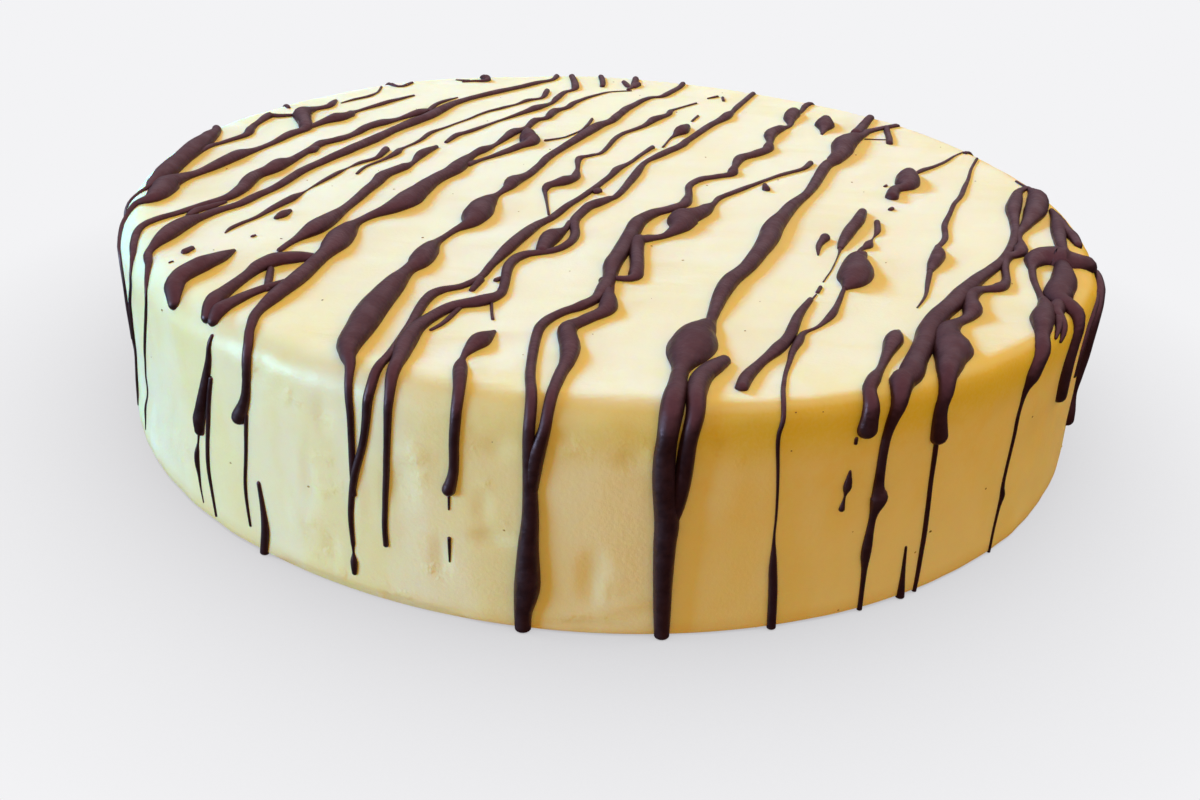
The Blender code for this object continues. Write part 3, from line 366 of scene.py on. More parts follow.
# Thin strands, drops and hairlines
THIN = [
    [(-72, 80, 0.8), (-72, 74, 1), (-74, 69, 2), (-77, 65, 2), (-80, 60, 1)],
    [(-48, 73, 1), (-51, 68, 2), (-53, 63, 2), (-54, 56, 2)],
    [(-22, 88, 2), (-23, 80, 2), (-27, 76, 2.5), (-30, 70, 1.5), (-34, 64, 2), (-38, 58, 1.5), (-42, 50, 1.2),
     (-46, 43, 1.2), (-50, 36, 1.8), (-52, 28, 1.5), (-55, 20, 1.2), (-56, 15, 2.5), (-58, 9, 1.5),
     (-61, 2, 1.2), (-62, -4, 1)],
    [(-59, 17, 2.5), (-60, 10, 2), (-63, 5, 2), (-65, 0, 0.8), (-67, -5, 1.8), (-69, -11, 1.5),
     (-71, -18, 0.7), (-73, -24, 3), (-75, -30, 2.5), (-77, -37, 1.5), (-80, -44, 1.5), (-80.5, -48, 0.5)],
    [(-66, -66, 1.5), (-65, -71, 1.6), (-64, -76, 1.5)],
    [(-19, 34, 2), (-14, 38, 1.2), (-10, 45, 1), (-8, 52, 1.2), (-7, 58, 1)],
    [(31, 93, 2), (28, 90, 1.4)],
    [(33, 92, 1), (33, 88, 1)],
    [(24, 68, 1), (22, 62, 1)],
    [(20, 55, 3), (18, 50, 5), (16.5, 46, 2), (15, 42, 0.8), (13, 34, 0.7)],
    [(-3.6, -6.4, 2.8), (-4.2, -7.4, 2.8)],
    [(-21, -63.5, 2), (-22, -64.5, 2)],
    [(-25, -65, 2), (-26, -70, 1.4)],
    [(-27, -78, 1.2), (-29, -85, 1.3), (-31, -89, 1)],
    [(-21.5, -76, 0.7), (-21, -80, 0.6), (-20.5, -83, 0.7)],
    [(1, -63, 1.2), (1, -70, 1.2)],
    [(38, 6, 1.2), (38, 2, 2.2)],
    [(59, 55, 0.8), (60, 59, 2.5), (61, 64, 6), (62, 69, 4)],
    [(71, 53, 1.4), (78, 54, 1)],
    [(79.5, 66, 2), (78.5, 56, 2), (77.5, 50, 2)],
    [(-16, -9, 1.2), (-15, -17, 0.7), (-14, -25, 0.6)],
    [(48, -29, 1), (48, -30, 2.5), (46, -35, 1.5), (45, -41, 0.4)],
    [(50.5, -36, 1), (49.5, -40, 0.4), (47, -48, 0.35), (44, -56, 0.35)],
    [(43, -59, 0.9), (42, -62, 0.9)],
    [(41.6, -63, 0.4), (40.5, -65.5, 0.5)],
    [(62, -17, 1.5), (61, -23, 1.5), (59, -28, 0.4), (57, -33, 2.5), (55, -36, 1.2), (54, -40, 2)],
    [(48, -59, 1.6), (47.5, -60, 1), (45, -68, 1.3), (43, -73, 1.8), (40, -78, 1), (37, -81, 1.2),
     (35.5, -85, 1.8), (34, -89, 1.4), (33, -93, 1), (31.5, -99, 0.8), side(15.8, 45.6, 0.9),
     side(15.2, 43, 0.9), side(15, 40, 0.8), side(15.4, 33, 0.6), side(15.8, 25, 0.5), side(15.9, 20, 0.6),
     side(16.2, 14, 1.6), side(16.5, 9, 1.8), side(16.9, FOOT, 1.8)],
    [(67.3, -6.6, 1.6), (66.7, -7.4, 1.6)],
    [(69.3, 11.4, 1.1), (68.8, 10.6, 1.1)],
    [(79, 23, 1.2), (82, 27, 2), (86, 31, 1.5), (90, 36, 1.2), (94, 42, 0.8), (98, 47, 0.8)],
    [(100, 41, 0.8), (96, 31, 0.8), (93, 22, 0.9), (90, 14, 1.3), (87, 6, 1.3), (84, 0, 1.2), (81, -8, 1.2),
     (78, -16, 1.5), (76, -25, 1.5), (73, -31, 1.4)],
    [(68, -46, 1.3), (66, -53, 1.1), (64, -60, 0.7), (61, -66.5, 0.4)],
    [(-71.2, -32, 1.6), (-72.2, -35, 3.2), (-72.8, -37, 2)],
    [(-76.4, 14.4, 2.4), (-77.4, 11.8, 4.2), (-78, 10.2, 2.6)],
    [(91, -41, 1.8), (89.3, -48.3, 1.6), (88.2, -56.4, 1.6), (87.3, -61, 1.8)],
    [side(-42.3, 19, 1), side(-42.6, 16.7, 0.8), side(-43, 14.2, 1.9), side(-43.3, 11.5, 2.1),
     side(-43.3, 9.5, 1.7), side(-43, 6, 0.9), side(-42.7, 3, 0.6)],
    [(-74.2, -48.4, 1), (-74.6, -49.2, 1.2)],
    [(-84.6, -57.5, 2), (-85.4, -59.5, 2.5)],
    [(-85.8, -64.7, 0.8), (-86.2, -65.3, 0.8)],
    [(-51, 95, 1.6), (-47, 95, 3)],
    [(6, 102, 3), (4, 98, 3), (2, 104, 2)],
    [side(-22, 11, 1), side(-22, 9, 0.5), side(-22, 7, 1.6), side(-22, 4.5, 1.2)],
    [side(-12.4, 26, 0.5), side(-12.4, 23.5, 0.4)],
    [side(-12.4, 17.5, 0.7), side(-12.4, 15, 0.6), side(-12.4, 12.5, 0.4)],
    [side(22.4, 38.4, 0.8), side(22.4, 37.6, 0.8)],
    [side(22.3, 32, 0.6), side(22.3, 29, 1.9), side(22.2, 27, 0.5), side(22.1, 24.5, 1.4)],
    [side(52.6, 45.1, 2.5), side(49.8, 43.7, 1)],
    [side(31.5, 35, 1.4), side(31.9, 25, 1.3), side(32.6, 12, 1.4), side(32.8, FOOT, 1.2)],
    [side(30.4, 12, 0.7), side(30.7, 6, 1.2), side(31, FOOT, 2.2)],
    [side(-38.6, 34, 1.3), side(-39.5, 28, 1.5), side(-40.5, 20, 1.5), side(-41, 12, 1.5), side(-40.5, 2, 1)],
    [side(-33.8, 30, 1.2), side(-34.5, 20, 1), side(-35, 12, 1), side(-34.8, 5, 0.8)],
]


def eased(value, low, high):
    """0 below low, 1 above high, and a smooth step between."""
    share = min(max((value - low) / (high - low), 0.0), 1.0)
    return share * share * (3 - 2 * share)


def uneven(place, outward):
    """A place of the plain turned cake moved to the real, uneven one, as in the solid."""
    calm = min(max(place.z / CALM_FOOT, 0.0), 1.0)
    moved = place + outward * DENT * noise.noise(place / DENT_LENGTH) * calm
    reach = max(place.xy.length, TINY)
    sideways = (place.x / reach) ** 2
    lean = LEAN * sideways * eased(reach, LEAN_FROM, FLAT_RADIUS) * place.z / HEIGHT
    moved.xy *= 1 - lean / reach
    return moved


def before_lean(x, y):
    """A sighted place of the top, moved outwards by as much as the lean moves it back in."""
    reach = max(hypot(x, y), TINY)
    if reach > FLAT_RADIUS:
        return x, y
    grown = 1 + LEAN * (x / reach) ** 2 * eased(reach, LEAN_FROM, FLAT_RADIUS) / reach
    return x * grown, y * grown


def rim_rounding(angle):
    """The radius of the rim at a bearing in degrees: the plain one, or a crisper one at the front right."""
    first, last = CRISP_RIM
    share = eased(angle, first, first + CRISP_FADE) * (1 - eased(angle, last - CRISP_FADE, last))
    return RIM_ROUNDING + (CRISP_ROUNDING - RIM_ROUNDING) * share


def unrolled_to_space(x, y):
    """The place on the cake of a point of the unrolled cake, and the outward direction there."""
    reach = hypot(x, y)
    bearing = atan2(y, x) if reach else 0.0
    rounding = rim_rounding(atan2(x, -y) * 180 / pi)
    flat = RIM_ROUNDING - rounding
    along = min(max((reach - FLAT_RADIUS) / RIM_ARC, 0.0), 1.0) * (2 * flat + rounding * pi / 2)
    turn = min(max((along - flat) / rounding, 0.0), pi / 2)
    radius = min(reach, FLAT_RADIUS) + min(along, flat) + rounding * sin(turn)
    height = HEIGHT - rounding * (1 - cos(turn)) - max(along - flat - rounding * pi / 2, 0.0)
    height -= max(reach - FLAT_RADIUS - RIM_ARC, 0.0)
    place = Vector((radius * cos(bearing), radius * sin(bearing), height))
    outward = Vector((sin(turn) * cos(bearing), sin(turn) * sin(bearing), cos(turn)))
    return uneven(place, outward), outward


def patch_share(place, angle, height, wide, tall):
    """1 at the middle of an oval patch of the side, and 0 from its edge on."""
    across = atan2(place.x, -place.y) - radians(angle)
    across = (across + pi) % (2 * pi) - pi
    distance = (across * RADIUS / wide) ** 2 + ((place.z - height) / tall) ** 2
    return (1 - distance) ** 2 if distance < 1 else 0.0


def crumbly(place):
    """How crumbly the side is at a place, 0 to 1, broken up and fading out to the limits of each patch."""
    share = max(patch_share(place, *patch) for patch in CRUMBLY)
    broken = BREAK_MIDDLE + BREAK_SWING * noise.noise(place / BREAK_WAVE + BREAK_SHIFT)
    return min(share * PATCH_GAIN, 1.0) * eased(broken, *BREAK_FADE) if share else 0.0


def ragged_foot(place):
    """How far the broken lower edge of the front left stands back, 0 to 1."""
    angle = atan2(place.x, -place.y) * 180 / pi
    first, last = RAGGED_FOOT
    if not first < angle < last or place.z > RAGGED_HEIGHT:
        return 0.0
    ends = eased(angle, first, first + RAGGED_FADES[0]) * (1 - eased(angle, last - RAGGED_FADES[1], last))
    wave = noise.noise(Vector((angle * RAGGED_PER_DEGREE, *RAGGED_SHIFT)))
    height = RAGGED_HEIGHT * (RAGGED_MIDDLE + RAGGED_SWING * wave)
    return ends * (1 - eased(place.z, height * RAGGED_SOLID, height))


def stretched_noise(place, waves):
    """Noise whose waves have the given lengths along x, y and z."""
    return noise.noise(Vector((place.x / waves[0], place.y / waves[1], place.z / waves[2])))


def upright_share(outward):
    """0 where the surface is flat, 1 where it stands upright."""
    return eased(1 - abs(outward.z), *UPRIGHT)


def relief(place, outward):
    """Fine unevenness of the spread ice cream on top of the dents, in millimetres."""
    upright = upright_share(outward)
    smear = stretched_noise(place, SMEAR_WAVES) * SMEAR_DEPTH
    smear += noise.noise(place / FINE_WAVE + FINE_SHIFT) * FINE_DEPTH
    smear += stretched_noise(place, TOP_WAVES) * TOP_DEPTH * (1 - upright)
    if upright == 0:
        return smear
    marks = sum(depth * patch_share(place, *mark) for *mark, depth in MARKS)
    crumbs = noise.fractal(place / CRUMB_LENGTH, *CRUMB_FRACTAL) * CRUMB_DEPTH * crumbly(place)
    round_side = atan2(place.x, -place.y) * TROWELS_ROUND
    trowel = noise.noise(Vector((round_side, place.z / TROWEL_HEIGHT, TROWEL_SHIFT))) * TROWEL_DEPTH
    rim = eased(place.z, *WORN_RIM) * noise.noise(place / RIM_WAVE) * RIM_DEPTH
    standing = marks + crumbs + trowel + rim
    return smear + standing * upright - ragged_foot(place) * RAGGED_DEPTH


def new_object(name, data):
    """A mesh, curve, lamp or lens as an object of the scene, at the origin."""
    piece = bpy.data.objects.new(name, data)
    bpy.context.scene.collection.objects.link(piece)
    return piece


def disc_place(across, along):
    """A point of the square from -1 to 1 moved to the disc of radius 1, with points evenly round it."""
    if across == 0 and along == 0:
        return 0.0, 0.0
    if abs(across) > abs(along):
        return across * cos(pi / 4 * along / across), across * sin(pi / 4 * along / across)
    return along * sin(pi / 4 * across / along), along * cos(pi / 4 * across / along)


def ring_joined(cage, last, bearings, reach):
    """A new ring of vertices at a reach, joined to the last one by faces."""
    here = [cage.verts.new((x * reach, y * reach, 0.0)) for x, y in bearings]
    for index in range(len(here)):
        after = (index + 1) % len(here)
        cage.faces.new([last[index], here[index], here[after], last[after]])
    return here


def ice_cream_body():
    """The uncut cake: a fine grid over the top, rings round the rim and down the side, and a flat base."""
    cage = bmesh.new()
    count = TOP_CELLS + 1
    grid = []
    for row in range(count):
        for column in range(count):
            x, y = disc_place(2 * column / TOP_CELLS - 1, 2 * row / TOP_CELLS - 1)
            grid.append(cage.verts.new((x * FLAT_RADIUS, y * FLAT_RADIUS, 0.0)))
    for row in range(TOP_CELLS):
        for column in range(TOP_CELLS):
            first = row * count + column
            cage.faces.new([grid[first], grid[first + 1], grid[first + count + 1], grid[first + count]])
    edge = [grid[column] for column in range(TOP_CELLS)]
    edge += [grid[row * count + TOP_CELLS] for row in range(TOP_CELLS)]
    edge += [grid[TOP_CELLS * count + column] for column in range(TOP_CELLS, 0, -1)]
    edge += [grid[row * count] for row in range(TOP_CELLS, 0, -1)]
    rings = ceil((FOOT_REACH - BASE_CHAMFER - FLAT_RADIUS) / RING_STEP)
    bearings = [(vertex.co.x / FLAT_RADIUS, vertex.co.y / FLAT_RADIUS) for vertex in edge]
    last = edge
    for ring in range(1, rings + 1):
        reach = FLAT_RADIUS + (FOOT_REACH - BASE_CHAMFER - FLAT_RADIUS) * ring / rings
        last = ring_joined(cage, last, bearings, reach)
    worn = []
    for vertex in cage.verts:
        place, outward = unrolled_to_space(vertex.co.x, vertex.co.y)
        vertex.co = place + outward * relief(place, outward) * eased(place.z, 0.0, CALM_EDGE)
        worn.append(crumbly(place) * upright_share(outward) if place.z > TINY else 0.0)
    for radius in BASE_RINGS:
        last = ring_joined(cage, last, bearings, radius)
    middle = cage.verts.new((0.0, 0.0, 0.0))
    for index in range(len(last)):
        cage.faces.new([last[index], middle, last[(index + 1) % len(last)]])
    cage.transform(Matrix.Scale(MM, 4))
    bmesh.ops.recalc_face_normals(cage, faces=cage.faces)
    for face in cage.faces:
        face.smooth = True
    mesh = bpy.data.meshes.new("ice_cream")
    cage.to_mesh(mesh)
    cage.free()
    worn += [0.0] * (len(mesh.vertices) - len(worn))
    mesh.attributes.new("crumbly", "FLOAT", "POINT").data.foreach_set("value", worn)
    return new_object("ice_cream", mesh)


def smoothed(points, index, share):
    """A point of the smooth curve through the route, a share of the way from one route point to the next."""
    before = points[max(index - 1, 0)]
    here = points[index]
    there = points[index + 1]
    after = points[min(index + 2, len(points) - 1)]
    pull_here = (there - before) / 2
    pull_there = (after - here) / 2
    gap = there - here
    bend = 3 * gap - 2 * pull_here - pull_there
    close = pull_here + pull_there - 2 * gap
    return here + (pull_here + (bend + close * share) * share) * share


def strand_points(route):
    """Closely spaced points along a route, with their widths as the third coordinate."""
    points = [Vector((*before_lean(x, y), width)) for x, y, width in route]
    run = []
    for index in range(len(points) - 1):
        pieces = max(1, ceil((points[index + 1] - points[index]).xy.length / STEP))
        run += [smoothed(points, index, step / pieces) for step in range(pieces)]
    run.append(points[-1])
    return run


def rise_and_radius(width):
    """How far a strand stands out, and the radius of its section: half round if narrow, flatter if wide."""
    rise = min(width, FULL_ROUND) / 2 + SPREAD_RISE * max(width - FULL_ROUND, 0.0)
    return rise, (width * width / 4 + rise * rise) / (2 * rise)


def hidden_behind(width, sight):
    """How far behind its middle line a strand hides the surface, sighted at an angle whose sine is given."""
    rise, radius = rise_and_radius(width)
    hidden = (radius - (radius - rise) * sqrt(1 - sight * sight)) / sight
    return max(hidden, width / 2) if sight < width / 2 / radius else width / 2


def settled(run):
    """The points of a sighted run as places on the cake, outward directions and real widths."""
    out = []
    places = [unrolled_to_space(point.x, point.y) for point in run]
    for index, (point, (place, outward)) in enumerate(zip(run, places)):
        ahead = places[min(index + 1, len(run) - 1)][0] - places[max(index - 1, 0)][0]
        across = ahead.normalized().cross(outward).normalized()
        view = (SIGHTED_FROM - place).normalized()
        facing = max(view.dot(outward), TINY)
        sight = max(facing / hypot(facing, view.dot(across)), LOWEST_SIGHT)
        seen = eased(view.dot(outward), *OUT_OF_SIGHT)
        apparent = max(point.z, THINNEST)
        width = apparent
        for _ in range(WIDTH_ROUNDS):
            width *= apparent / (width / 2 + hidden_behind(width, sight))
        shift = (hidden_behind(width, sight) - width / 2) / 2 * (1 if view.dot(across) > 0 else -1)
        width = width * seen + apparent * HIDDEN_SHARE * (1 - seen)
        out.append((place + across * shift * seen, outward, width))
    return out


def round_ended(run, stands):
    """The run with points of falling width past its ends, but not past one that stands on the board."""
    ends = []
    for tip, next_one in ((run[0], run[1]), (run[-1], run[-2])):
        away = (tip[0] - next_one[0]).normalized()
        out = []
        for step in range(1, END_STEPS + 1):
            turn = pi / 2 * step / END_STEPS
            width = max(tip[2] * cos(turn), THINNEST)
            out.append((tip[0] + away * sin(turn) * tip[2] / 2, tip[1], width))
        ends.append(out)
    return ends[0][::-1] + run + ([] if stands else ends[1])


def strand_curves(name, routes):
    """The routes as one curve object whose point radii are those of round tubes sunk into the surface."""
    curve = bpy.data.curves.new(name, "CURVE")
    curve.dimensions = "3D"
    for route in routes:
        run = strand_points(route)
        stands = run[-1].xy.length > FOOT_REACH - 2 * FOOT
        points = round_ended(settled(run), stands)
        spline = curve.splines.new("POLY")
        spline.points.add(len(points) - 1)
        for target, (place, outward, width) in zip(spline.points, points):
            rise, radius = rise_and_radius(width)
            centre = place + outward * (relief(place, outward) + rise - radius)
            target.co = (*(centre * MM), 1.0)
            target.radius = radius * MM
    return new_object(name, curve)


def link(tree, source, target):
    """Joins an output to an input."""
    tree.links.new(source, target)


def put(tree, kind, inputs=None, **settings):
    """A new node with its settings, its inputs set to values or linked to sockets."""
    made = tree.nodes.new(kind)
    for name, value in settings.items():
        setattr(made, name, value)
    for key, value in (inputs or {}).items():
        if isinstance(value, bpy.types.NodeSocket):
            link(tree, value, made.inputs[key])
        else:
            made.inputs[key].default_value = value
    return made


def blended(tree, share, first, second):
    """The first colour, and a share of the second."""
    return put(tree, "ShaderNodeMix", {0: share, 6: first, 7: second}, data_type="RGBA").outputs[2]


def counted(tree, operation, first, second):
    """Two values joined by an operation."""
    return put(tree, "ShaderNodeMath", {0: first, 1: second}, operation=operation).outputs[0]


def product(tree, first, *others):
    """All the values multiplied."""
    for other in others:
        first = counted(tree, "MULTIPLY", first, other)
    return first


def raised(tree, share, least, extra):
    """The least value, and a share of an extra one."""
    return counted(tree, "ADD", counted(tree, "MULTIPLY", share, extra), least)


def ramped(tree, value, low, high):
    """0 where the value is low, 1 where it is high, with a smooth step between."""
    inputs = {"Value": value, "From Min": low, "From Max": high}
    return put(tree, "ShaderNodeMapRange", inputs, interpolation_type="SMOOTHSTEP").outputs["Result"]


def bumped(tree, height, size, under=None):
    """The normal of a bump of a strength and depth, over another normal if there is one."""
    inputs = {"Height": height, "Strength": size[0], "Distance": size[1]}
    if under is not None:
        inputs["Normal"] = under
    return put(tree, "ShaderNodeBump", inputs).outputs["Normal"]


def empty_tree(name, kind, sockets, end=("Geometry", "Geometry")):
    """A node tree with inputs (name, kind, value) and one output (name, kind), its inputs and that output."""
    tree = bpy.data.node_groups.new(name, kind + "NodeTree")
    for label, sort, *value in sockets:
        socket = tree.interface.new_socket(label, in_out="INPUT", socket_type="NodeSocket" + sort)
        if value:
            socket.default_value = value[0]
    tree.interface.new_socket(end[0], in_out="OUTPUT", socket_type="NodeSocket" + end[1])
    given = tree.nodes.new("NodeGroupInput").outputs
    return tree, given, tree.nodes.new("NodeGroupOutput").inputs[end[0]]


def finished(tree, shape, finish, end):
    """Ends a tree with its shape made real, smooth and coated with the finish."""
    real = put(tree, "GeometryNodeRealizeInstances", {"Geometry": shape})
    smooth = put(tree, "GeometryNodeSetShadeSmooth", {"Geometry": real.outputs["Geometry"]})
    coat = put(tree, "GeometryNodeSetMaterial", {"Geometry": smooth.outputs["Geometry"], "Material": finish})
    link(tree, coat.outputs["Geometry"], end)


def drizzle_tree():
    """Node tree that turns curves into round strands of uneven thickness."""
    tree, given, end = empty_tree("drizzle strands", "Geometry", (
        ("Geometry", "Geometry"), ("Sides", "Int", STRAND_SIDES), ("Unevenness", "Float", UNEVENNESS),
        ("Lump Length", "Float", LUMP_LENGTH), ("Seed", "Float", 1.0), ("Chocolate", "Material")))
    place = put(tree, "GeometryNodeInputPosition").outputs[0]
    spread = put(tree, "ShaderNodeVectorMath", {0: place, 1: given["Lump Length"]}, operation="DIVIDE")
    lumps = put(tree, "ShaderNodeTexNoise",
                {"Scale": 1.0, "Detail": 1.0, "Vector": spread.outputs[0], "W": given["Seed"]},
                noise_dimensions="4D")
    centred = counted(tree, "SUBTRACT", lumps.outputs["Fac"], 0.5)
    swing = raised(tree, centred, 1.0, given["Unevenness"])
    uneven_width = counted(tree, "MULTIPLY", put(tree, "GeometryNodeInputRadius").outputs[0], swing)
    ring = put(tree, "GeometryNodeCurvePrimitiveCircle", {"Radius": 1.0, "Resolution": given["Sides"]},
               mode="RADIUS")
    strands = put(tree, "GeometryNodeCurveToMesh",
                  {"Fill Caps": True, "Curve": given["Geometry"], "Profile Curve": ring.outputs["Curve"],
                   "Scale": uneven_width})
    finished(tree, strands.outputs["Mesh"], given["Chocolate"], end)
    return tree


def speck_tree():
    """Node tree that strews small flat seeds over a surface."""
    smallest, largest = SPECK_SIZES
    tree, given, end = empty_tree("vanilla specks", "Geometry", (
        ("Geometry", "Geometry"), ("Per Square Metre", "Float", SPECKS), ("Smallest", "Float", smallest),
        ("Largest", "Float", largest), ("Seed", "Int", 3), ("Speck", "Material")))
    spread = put(tree, "GeometryNodeDistributePointsOnFaces",
                 {"Mesh": given["Geometry"], "Density": given["Per Square Metre"], "Seed": given["Seed"]})
    length = put(tree, "FunctionNodeRandomValue",
                 {2: given["Smallest"], 3: given["Largest"], "Seed": given["Seed"]},
                 data_type="FLOAT").outputs[1]
    size = put(tree, "ShaderNodeCombineXYZ",
               {"X": length, "Y": product(tree, length, SPECK_WIDTH),
                "Z": product(tree, length, SPECK_FLATNESS)})
    seed = put(tree, "GeometryNodeMeshIcoSphere", {"Radius": 1.0, "Subdivisions": 2})
    strewn = put(tree, "GeometryNodeInstanceOnPoints",
                 {"Points": spread.outputs["Points"], "Instance": seed.outputs["Mesh"],
                  "Rotation": spread.outputs["Rotation"], "Scale": size.outputs["Vector"]})
    finished(tree, strewn.outputs["Instances"], given["Speck"], end)
    return tree


def run_tree(carrier, tree, values):
    """The plain mesh that a node tree makes from a carrier object, as a new object in its place."""
    maker = carrier.modifiers.new("maker", "NODES")
    maker.node_group = tree
    keys = {item.name: item.identifier for item in tree.interface.items_tree if item.in_out == "INPUT"}
    for name, value in values.items():
        maker[keys[name]] = value
    graph = bpy.context.evaluated_depsgraph_get()
    mesh = bpy.data.meshes.new_from_object(carrier.evaluated_get(graph))
    name = mesh.name = carrier.name
    bpy.data.objects.remove(carrier)
    return new_object(name, mesh)


def mottle_group():
    """Soft patches that all finishes use, at any scale."""
    tree, given, end = empty_tree("mottle", "Shader", (
        ("Place", "Vector"), ("Scale", "Float"), ("Detail", "Float"), ("Low", "Float"), ("High", "Float")),
        ("Amount", "Float"))
    cloud = put(tree, "ShaderNodeTexNoise",
                {"Vector": given["Place"], "Scale": given["Scale"], "Detail": given["Detail"]})
    link(tree, ramped(tree, cloud.outputs["Fac"], given["Low"], given["High"]), end)


def mottled(tree, place, patches):
    """How much one of the mottles covers a place, 0 to 1."""
    inputs = dict(zip(("Place", "Scale", "Detail", "Low", "High"), (place, *patches)))
    return put(tree, "ShaderNodeGroup", inputs, node_tree=bpy.data.node_groups["mottle"]).outputs["Amount"]


def stretched(tree, place, scale):
    """The place multiplied along each axis."""
    return put(tree, "ShaderNodeMapping", {"Vector": place, "Scale": scale}).outputs["Vector"]


def material(name):
    """A new material, its tree, its surface node and the place on the object in metres."""
    made = bpy.data.materials.new(name)
    made.use_nodes = True
    tree = made.node_tree
    place = put(tree, "ShaderNodeTexCoord").outputs["Object"]
    return made, tree, tree.nodes["Principled BSDF"], place


def chocolate_finish():
    """Dark purplish brown, matt, with paler bloom and a fine uneven skin."""
    made, tree, surface, place = material("set chocolate")
    skin = mottled(tree, place, SKIN)
    colour = blended(tree, mottled(tree, place, BLOOM), DARK_CHOCOLATE, CHOCOLATE_BLOOM)
    colour = blended(tree, product(tree, skin, SKIN_SHARE), colour, PALE_SKIN)
    link(tree, colour, surface.inputs["Base Color"])
    sheen = dict(zip(("Value", "To Min", "To Max"), (mottled(tree, place, SHEEN), *CHOCOLATE_ROUGH)))
    link(tree, put(tree, "ShaderNodeMapRange", sheen).outputs["Result"], surface.inputs["Roughness"])
    surface.inputs["Specular IOR Level"].default_value = GLOSS
    surface.inputs["Specular Tint"].default_value = LILAC_GLOSS
    swell = bumped(tree, mottled(tree, place, SWELL), SWELL_BUMP)
    link(tree, bumped(tree, skin, SKIN_BUMP, swell), surface.inputs["Normal"])
    return made


def ice_cream_finish():
    """Ivory to butter yellow, clouded and streaked by the spatula, deeper where it is crumbly, with painted
    shade on the right side and under the rim.
    """
    made, tree, surface, place = material("vanilla ice cream")
    worn = put(tree, "ShaderNodeAttribute", attribute_name="crumbly").outputs["Fac"]
    axes = put(tree, "ShaderNodeSeparateXYZ", {"Vector": place}).outputs
    reach = put(tree, "ShaderNodeVectorMath", {0: stretched(tree, place, FLATTENED)},
                operation="LENGTH").outputs["Value"]
    cloud = mottled(tree, place, CLOUD)
    streak = mottled(tree, stretched(tree, place, ALONG_STREAKS), STREAK)
    blotch = mottled(tree, place, BLOTCH)
    grain = mottled(tree, place, GRAIN)
    wax = mottled(tree, stretched(tree, place, DOWN_SIDE), WAX)
    wax = product(tree, wax, raised(tree, ramped(tree, reach, *NEAR_RIM), *WAX_SHARE))
    # Painted shade: the upper part of the right side deeper yellow
    right_side_shade = product(tree, ramped(tree, axes["Z"], *RIGHT_SHADE_RISES), ramped(tree, axes["Z"], *RIGHT_SHADE_ENDS),
                   ramped(tree, axes["X"], *RIGHT_SHADE_SPAN), raised(tree, blotch, *RIGHT_SHADE_SHARE))
    # Painted shade: a deep yellow band just under the rim, stronger towards the right
    shade = product(tree, ramped(tree, axes["Z"], *SHADE_RISES), ramped(tree, axes["Z"], *SHADE_ENDS),
                    ramped(tree, axes["X"], *SHADE_RIGHT), raised(tree, cloud, *SHADE_SHARE))
    colour = IVORY
    for share, tint in (
            (cloud, BUTTER), (product(tree, streak, STREAK_SHARE), PULLED_STREAK), (wax, WAXY),
            (right_side_shade, PAINTED_RIGHT_SHADE), (shade, PAINTED_RIM_SHADE),
            (product(tree, worn, raised(tree, blotch, *CRUMB_SHARE)), OPEN_CRUMB),
            (product(tree, ramped(tree, axes["Z"], *FOOT_FADES), FOOT_SHARE), FOOT_EDGE),
            (product(tree, grain, GRAIN_SHARE), PALE_GRAIN)):
        colour = blended(tree, share, colour, tint)
    link(tree, colour, surface.inputs["Base Color"])
    damp = raised(tree, worn, raised(tree, blotch, DAMP, BLOTCH_ROUGH), CRUMB_ROUGH)
    link(tree, damp, surface.inputs["Roughness"])
    normal = bumped(tree, streak, PULLED_BUMP)
    normal = bumped(tree, product(tree, blotch, raised(tree, worn, *PITS_SHARE)), PITTED_BUMP, normal)
    link(tree, bumped(tree, grain, GRAIN_BUMP, normal), surface.inputs["Normal"])
    surface.inputs["Subsurface Weight"].default_value = GLOW
    surface.inputs["Subsurface Radius"].default_value = GLOW_COLOUR
    surface.inputs["Subsurface Scale"].default_value = GLOW_DEPTH
    return made


def speck_finish():
    """Brown vanilla seeds, some paler where the ice cream covers them."""
    made, tree, surface, place = material("vanilla specks")
    covered = mottled(tree, place, COVER)
    link(tree, blended(tree, covered, SEED_BROWN, COVERED_SEED), surface.inputs["Base Color"])
    surface.inputs["Roughness"].default_value = SEED_ROUGH
    return made


def soft_light(name, bearing, elevation, distance, size, colour, power, mirrored):
    """A square soft light that faces the cake, in the gloss too if it is mirrored."""
    lamp = bpy.data.lights.new(name, "AREA")
    lamp.size = size
    lamp.color = colour
    lamp.energy = power
    holder = new_object(name, lamp)
    away = Vector((sin(radians(bearing)) * cos(radians(elevation)),
                   -cos(radians(bearing)) * cos(radians(elevation)), sin(radians(elevation))))
    holder.location = away * distance + Vector((0, 0, HEIGHT * MM / 2))
    holder.rotation_euler = away.to_track_quat("Z", "Y").to_euler()
    holder.visible_glossy = mirrored


def room():
    """The light from all round, what the gloss mirrors, and the backdrop that the camera sees."""
    world = bpy.data.worlds.new("studio")
    bpy.context.scene.world = world
    world.use_nodes = True
    tree = world.node_tree
    ray = put(tree, "ShaderNodeLightPath").outputs
    place = put(tree, "ShaderNodeTexCoord").outputs["Generated"]
    up = put(tree, "ShaderNodeSeparateXYZ", {0: place}).outputs["Z"]
    mirrored = blended(tree, ramped(tree, up, *MIRRORED_FADE), MIRRORED_LOW, MIRRORED_HIGH)
    light = blended(tree, ray["Is Glossy Ray"], WARM_ROOM, mirrored)
    link(tree, blended(tree, ray["Is Camera Ray"], light, BACKDROP), tree.nodes["Background"].inputs["Color"])


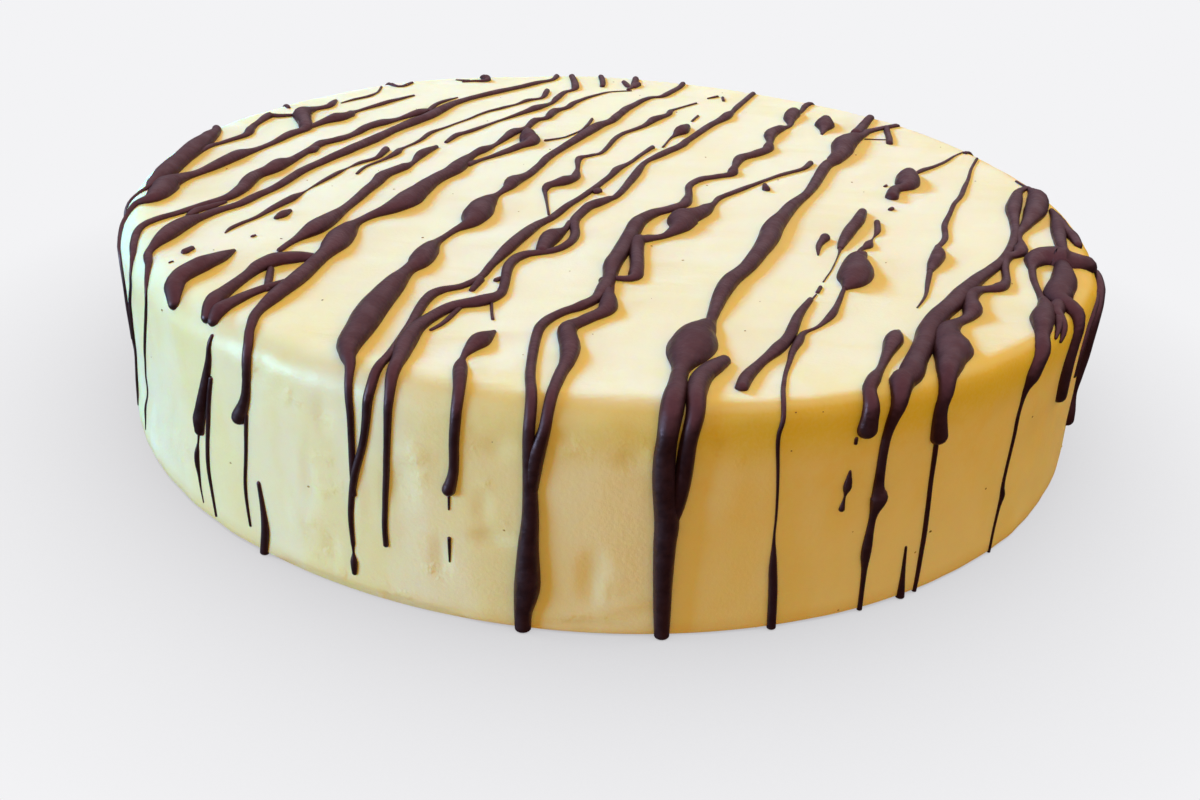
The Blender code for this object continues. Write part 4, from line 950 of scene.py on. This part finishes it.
def studio_floor():
    """A pale floor as bright as the backdrop, with a painted shadow where the cake stands close to it."""
    mesh = bpy.data.meshes.new("floor")
    half = FLOOR_HALF
    corners = [(-half, -half, 0), (half, -half, 0), (half, half, 0), (-half, half, 0)]
    mesh.from_pydata(corners, [], [(0, 1, 2, 3)])
    plate = new_object("floor", mesh)
    for kind in ("visible_diffuse", "visible_glossy", "visible_shadow"):
        setattr(plate, kind, False)
    made = bpy.data.materials.new("pale floor")
    made.use_nodes = True
    tree = made.node_tree
    # Painted shadow: the floor's glow darkens towards FLOOR_SHADE where the cake is near
    close = put(tree, "ShaderNodeAmbientOcclusion", {"Distance": FLOOR_SHADE_REACH}, samples=FLOOR_SHADE_RAYS)
    paint = put(tree, "ShaderNodeEmission",
                {"Color": blended(tree, close.outputs["AO"], FLOOR_SHADE, BACKDROP)})
    link(tree, paint.outputs["Emission"], tree.nodes["Material Output"].inputs["Surface"])
    mesh.materials.append(made)


def camera():
    """The camera of the photograph."""
    lens = bpy.data.cameras.new("camera")
    lens.lens = LENS
    lens.sensor_width = SENSOR
    lens.clip_start = NEAREST
    holder = new_object("camera", lens)
    pitch, roll = radians(CAMERA_PITCH), radians(CAMERA_ROLL)
    look = Vector((0.0, cos(pitch), -sin(pitch)))
    right = Vector((1.0, 0.0, 0.0))
    up = right.cross(look)
    across = right * cos(roll) + up * sin(roll)
    upward = up * cos(roll) - right * sin(roll)
    turn = Matrix((across, upward, -look)).transposed().to_4x4()
    holder.matrix_world = Matrix.Translation(CAMERA_PLACE) @ turn
    bpy.context.scene.camera = holder


mottle_group()
cream = ice_cream_finish()
chocolate = chocolate_finish()
body = ice_cream_body()
body.data.materials.append(cream)
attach(body, "root")
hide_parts("ice_cream_cake")

specks = new_object("vanilla_specks", body.data.copy())
specks = run_tree(specks, speck_tree(), {"Speck": speck_finish()})
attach(specks, "root")

strands = drizzle_tree()
for name, routes in (("thick_drizzle_left", THICK_LEFT), ("thick_drizzle_right", THICK_RIGHT),
                     ("thin_drizzle", THIN)):
    piece = run_tree(strand_curves(name, routes), strands, {"Chocolate": chocolate})
    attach(piece, "root")

studio_floor()
for light in LIGHTS:
    soft_light(*light)
room()
camera()
bpy.context.scene.view_settings.view_transform = "Standard"
